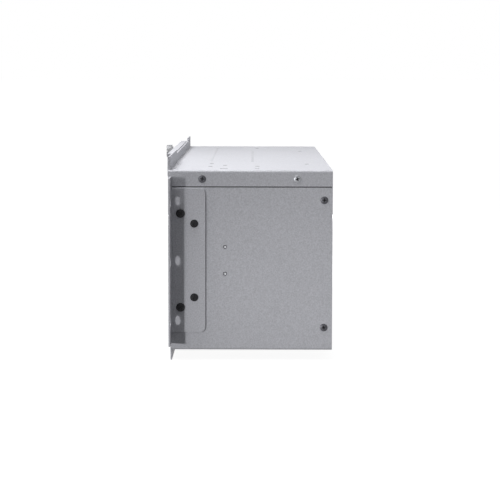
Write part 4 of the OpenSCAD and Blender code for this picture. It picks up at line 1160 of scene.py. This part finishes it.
def floor_finish():
    """White to the eye with a faint shadow, and a mid grey to the light it sends back."""
    material = bpy.data.materials.new("studio_floor")
    material.use_nodes = True
    tree = material.node_tree
    tree.nodes.remove(tree.nodes["Principled BSDF"])
    glow = tree.nodes.new("ShaderNodeEmission")
    glow.inputs["Strength"].default_value = FLOOR_GLOW
    pale = tree.nodes.new("ShaderNodeBsdfDiffuse")
    pale.inputs["Color"].default_value = (FLOOR_PALE,) * 3 + (1,)
    both = tree.nodes.new("ShaderNodeAddShader")
    dull = tree.nodes.new("ShaderNodeBsdfDiffuse")
    dull.inputs["Color"].default_value = (FLOOR_RETURN,) * 3 + (1,)
    mix = tree.nodes.new("ShaderNodeMixShader")
    tree.links.new(glow.outputs[0], both.inputs[0])
    tree.links.new(pale.outputs[0], both.inputs[1])
    tree.links.new(seen_directly(tree), mix.inputs["Fac"])
    tree.links.new(dull.outputs[0], mix.inputs[1])
    tree.links.new(both.outputs[0], mix.inputs[2])
    tree.links.new(mix.outputs[0], tree.nodes["Material Output"].inputs["Surface"])
    return material


def floor(level):
    bm = bmesh.new()
    place = Matrix.Translation((0, 0, level))
    bmesh.ops.create_grid(bm, x_segments=1, y_segments=1, size=FLOOR_HALF, matrix=place)
    mesh = bpy.data.meshes.new("studio_floor")
    bm.to_mesh(mesh)
    bm.free()
    mesh.materials.append(floor_finish())
    made = bpy.data.objects.new("studio_floor", mesh)
    bpy.context.scene.collection.objects.link(made)


def aimed(name, light, place, target):
    holder = bpy.data.objects.new(name, light)
    bpy.context.scene.collection.objects.link(holder)
    holder.location = place
    holder.rotation_euler = (Vector(target) - Vector(place)).to_track_quat("-Z", "Y").to_euler()
    return holder


def lamps():
    """A low key from the front right, a soft box overhead, and fill at the left and rear."""
    key = bpy.data.lights.new("key", "SUN")
    key.energy = KEY_STRENGTH
    key.angle = math.radians(KEY_SIZE)
    turn = math.radians(KEY_TURN)
    along = Vector((-math.cos(turn), math.sin(turn), -KEY_FALL))
    aimed("key", key, -2 * along, (0, 0, 0))
    pool = bpy.data.lights.new("key_pool", "SPOT")
    pool.energy = POOL_STRENGTH
    pool.spot_size = math.radians(POOL_WIDTH)
    pool.spot_blend = 1
    pool.shadow_soft_size = POOL_RADIUS
    aimed("key_pool", pool, Vector(POOL_TARGET) - POOL_REACH * along, POOL_TARGET)
    for name, strength, width, place in LOW_FILLS:
        low = bpy.data.lights.new(name, "AREA")
        low.shape = "RECTANGLE"
        low.size, low.size_y = width, LOW_FILL_H
        low.energy = strength
        aimed(name, low, place, LOW_FILL_TARGET).visible_glossy = False
    top = bpy.data.lights.new("overhead", "AREA")
    top.shape = "RECTANGLE"
    top.size, top.size_y = TOP_SIZE
    top.energy = TOP_STRENGTH
    aimed("overhead", top, TOP_PLACE, TOP_TARGET)


def camera():
    """The photograph's view: from the right side, a little above, with a long lens."""
    down, yaw, roll = (math.radians(a) for a in (CAMERA_DOWN, CAMERA_YAW, CAMERA_ROLL))
    level = math.cos(down)
    ahead = Vector((-level * math.cos(yaw), -level * math.sin(yaw), -math.sin(down)))
    right = ahead.cross(Vector((0, 0, 1))).normalized()
    up = right.cross(ahead)
    across = right * math.cos(roll) + up * math.sin(roll)
    upward = -right * math.sin(roll) + up * math.cos(roll)
    turn = Matrix((across, upward, -ahead)).transposed().to_4x4()
    data = bpy.data.cameras.new("camera")
    data.sensor_width = SENSOR_WIDTH
    data.lens = CAMERA_FOCUS_PX * SENSOR_WIDTH / PICTURE_PX
    holder = bpy.data.objects.new("camera", data)
    holder.matrix_world = at(*CAMERA_PLACE) @ turn
    bpy.context.scene.collection.objects.link(holder)
    bpy.context.scene.camera = holder


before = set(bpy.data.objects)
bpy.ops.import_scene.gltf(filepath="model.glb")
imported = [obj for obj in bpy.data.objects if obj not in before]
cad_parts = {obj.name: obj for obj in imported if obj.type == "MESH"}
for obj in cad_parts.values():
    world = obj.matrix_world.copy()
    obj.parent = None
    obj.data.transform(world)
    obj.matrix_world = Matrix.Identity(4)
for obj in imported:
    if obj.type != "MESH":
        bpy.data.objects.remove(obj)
cad_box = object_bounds()
FINISHES = {name: make() for name, (make, _) in FINISH_TABLE.items()}
bpy.context.scene.view_settings.view_transform = "Standard"

camera()
surroundings()
lamps()
floor(cad_box[0].z)
sheet_metal()
lid_marks()
seam_shade_strips()
ear_screws()
lid_screws()
corner_screws()
tray_screws()
backplane_screws()
fan_screws()
side_rivets()
ground_screw()
lock_thumbscrew()
fan_frames()
fan_rotors()
fan_guards()
backplane()
power_board()
power_wires()
status_lamps()
power_modules()
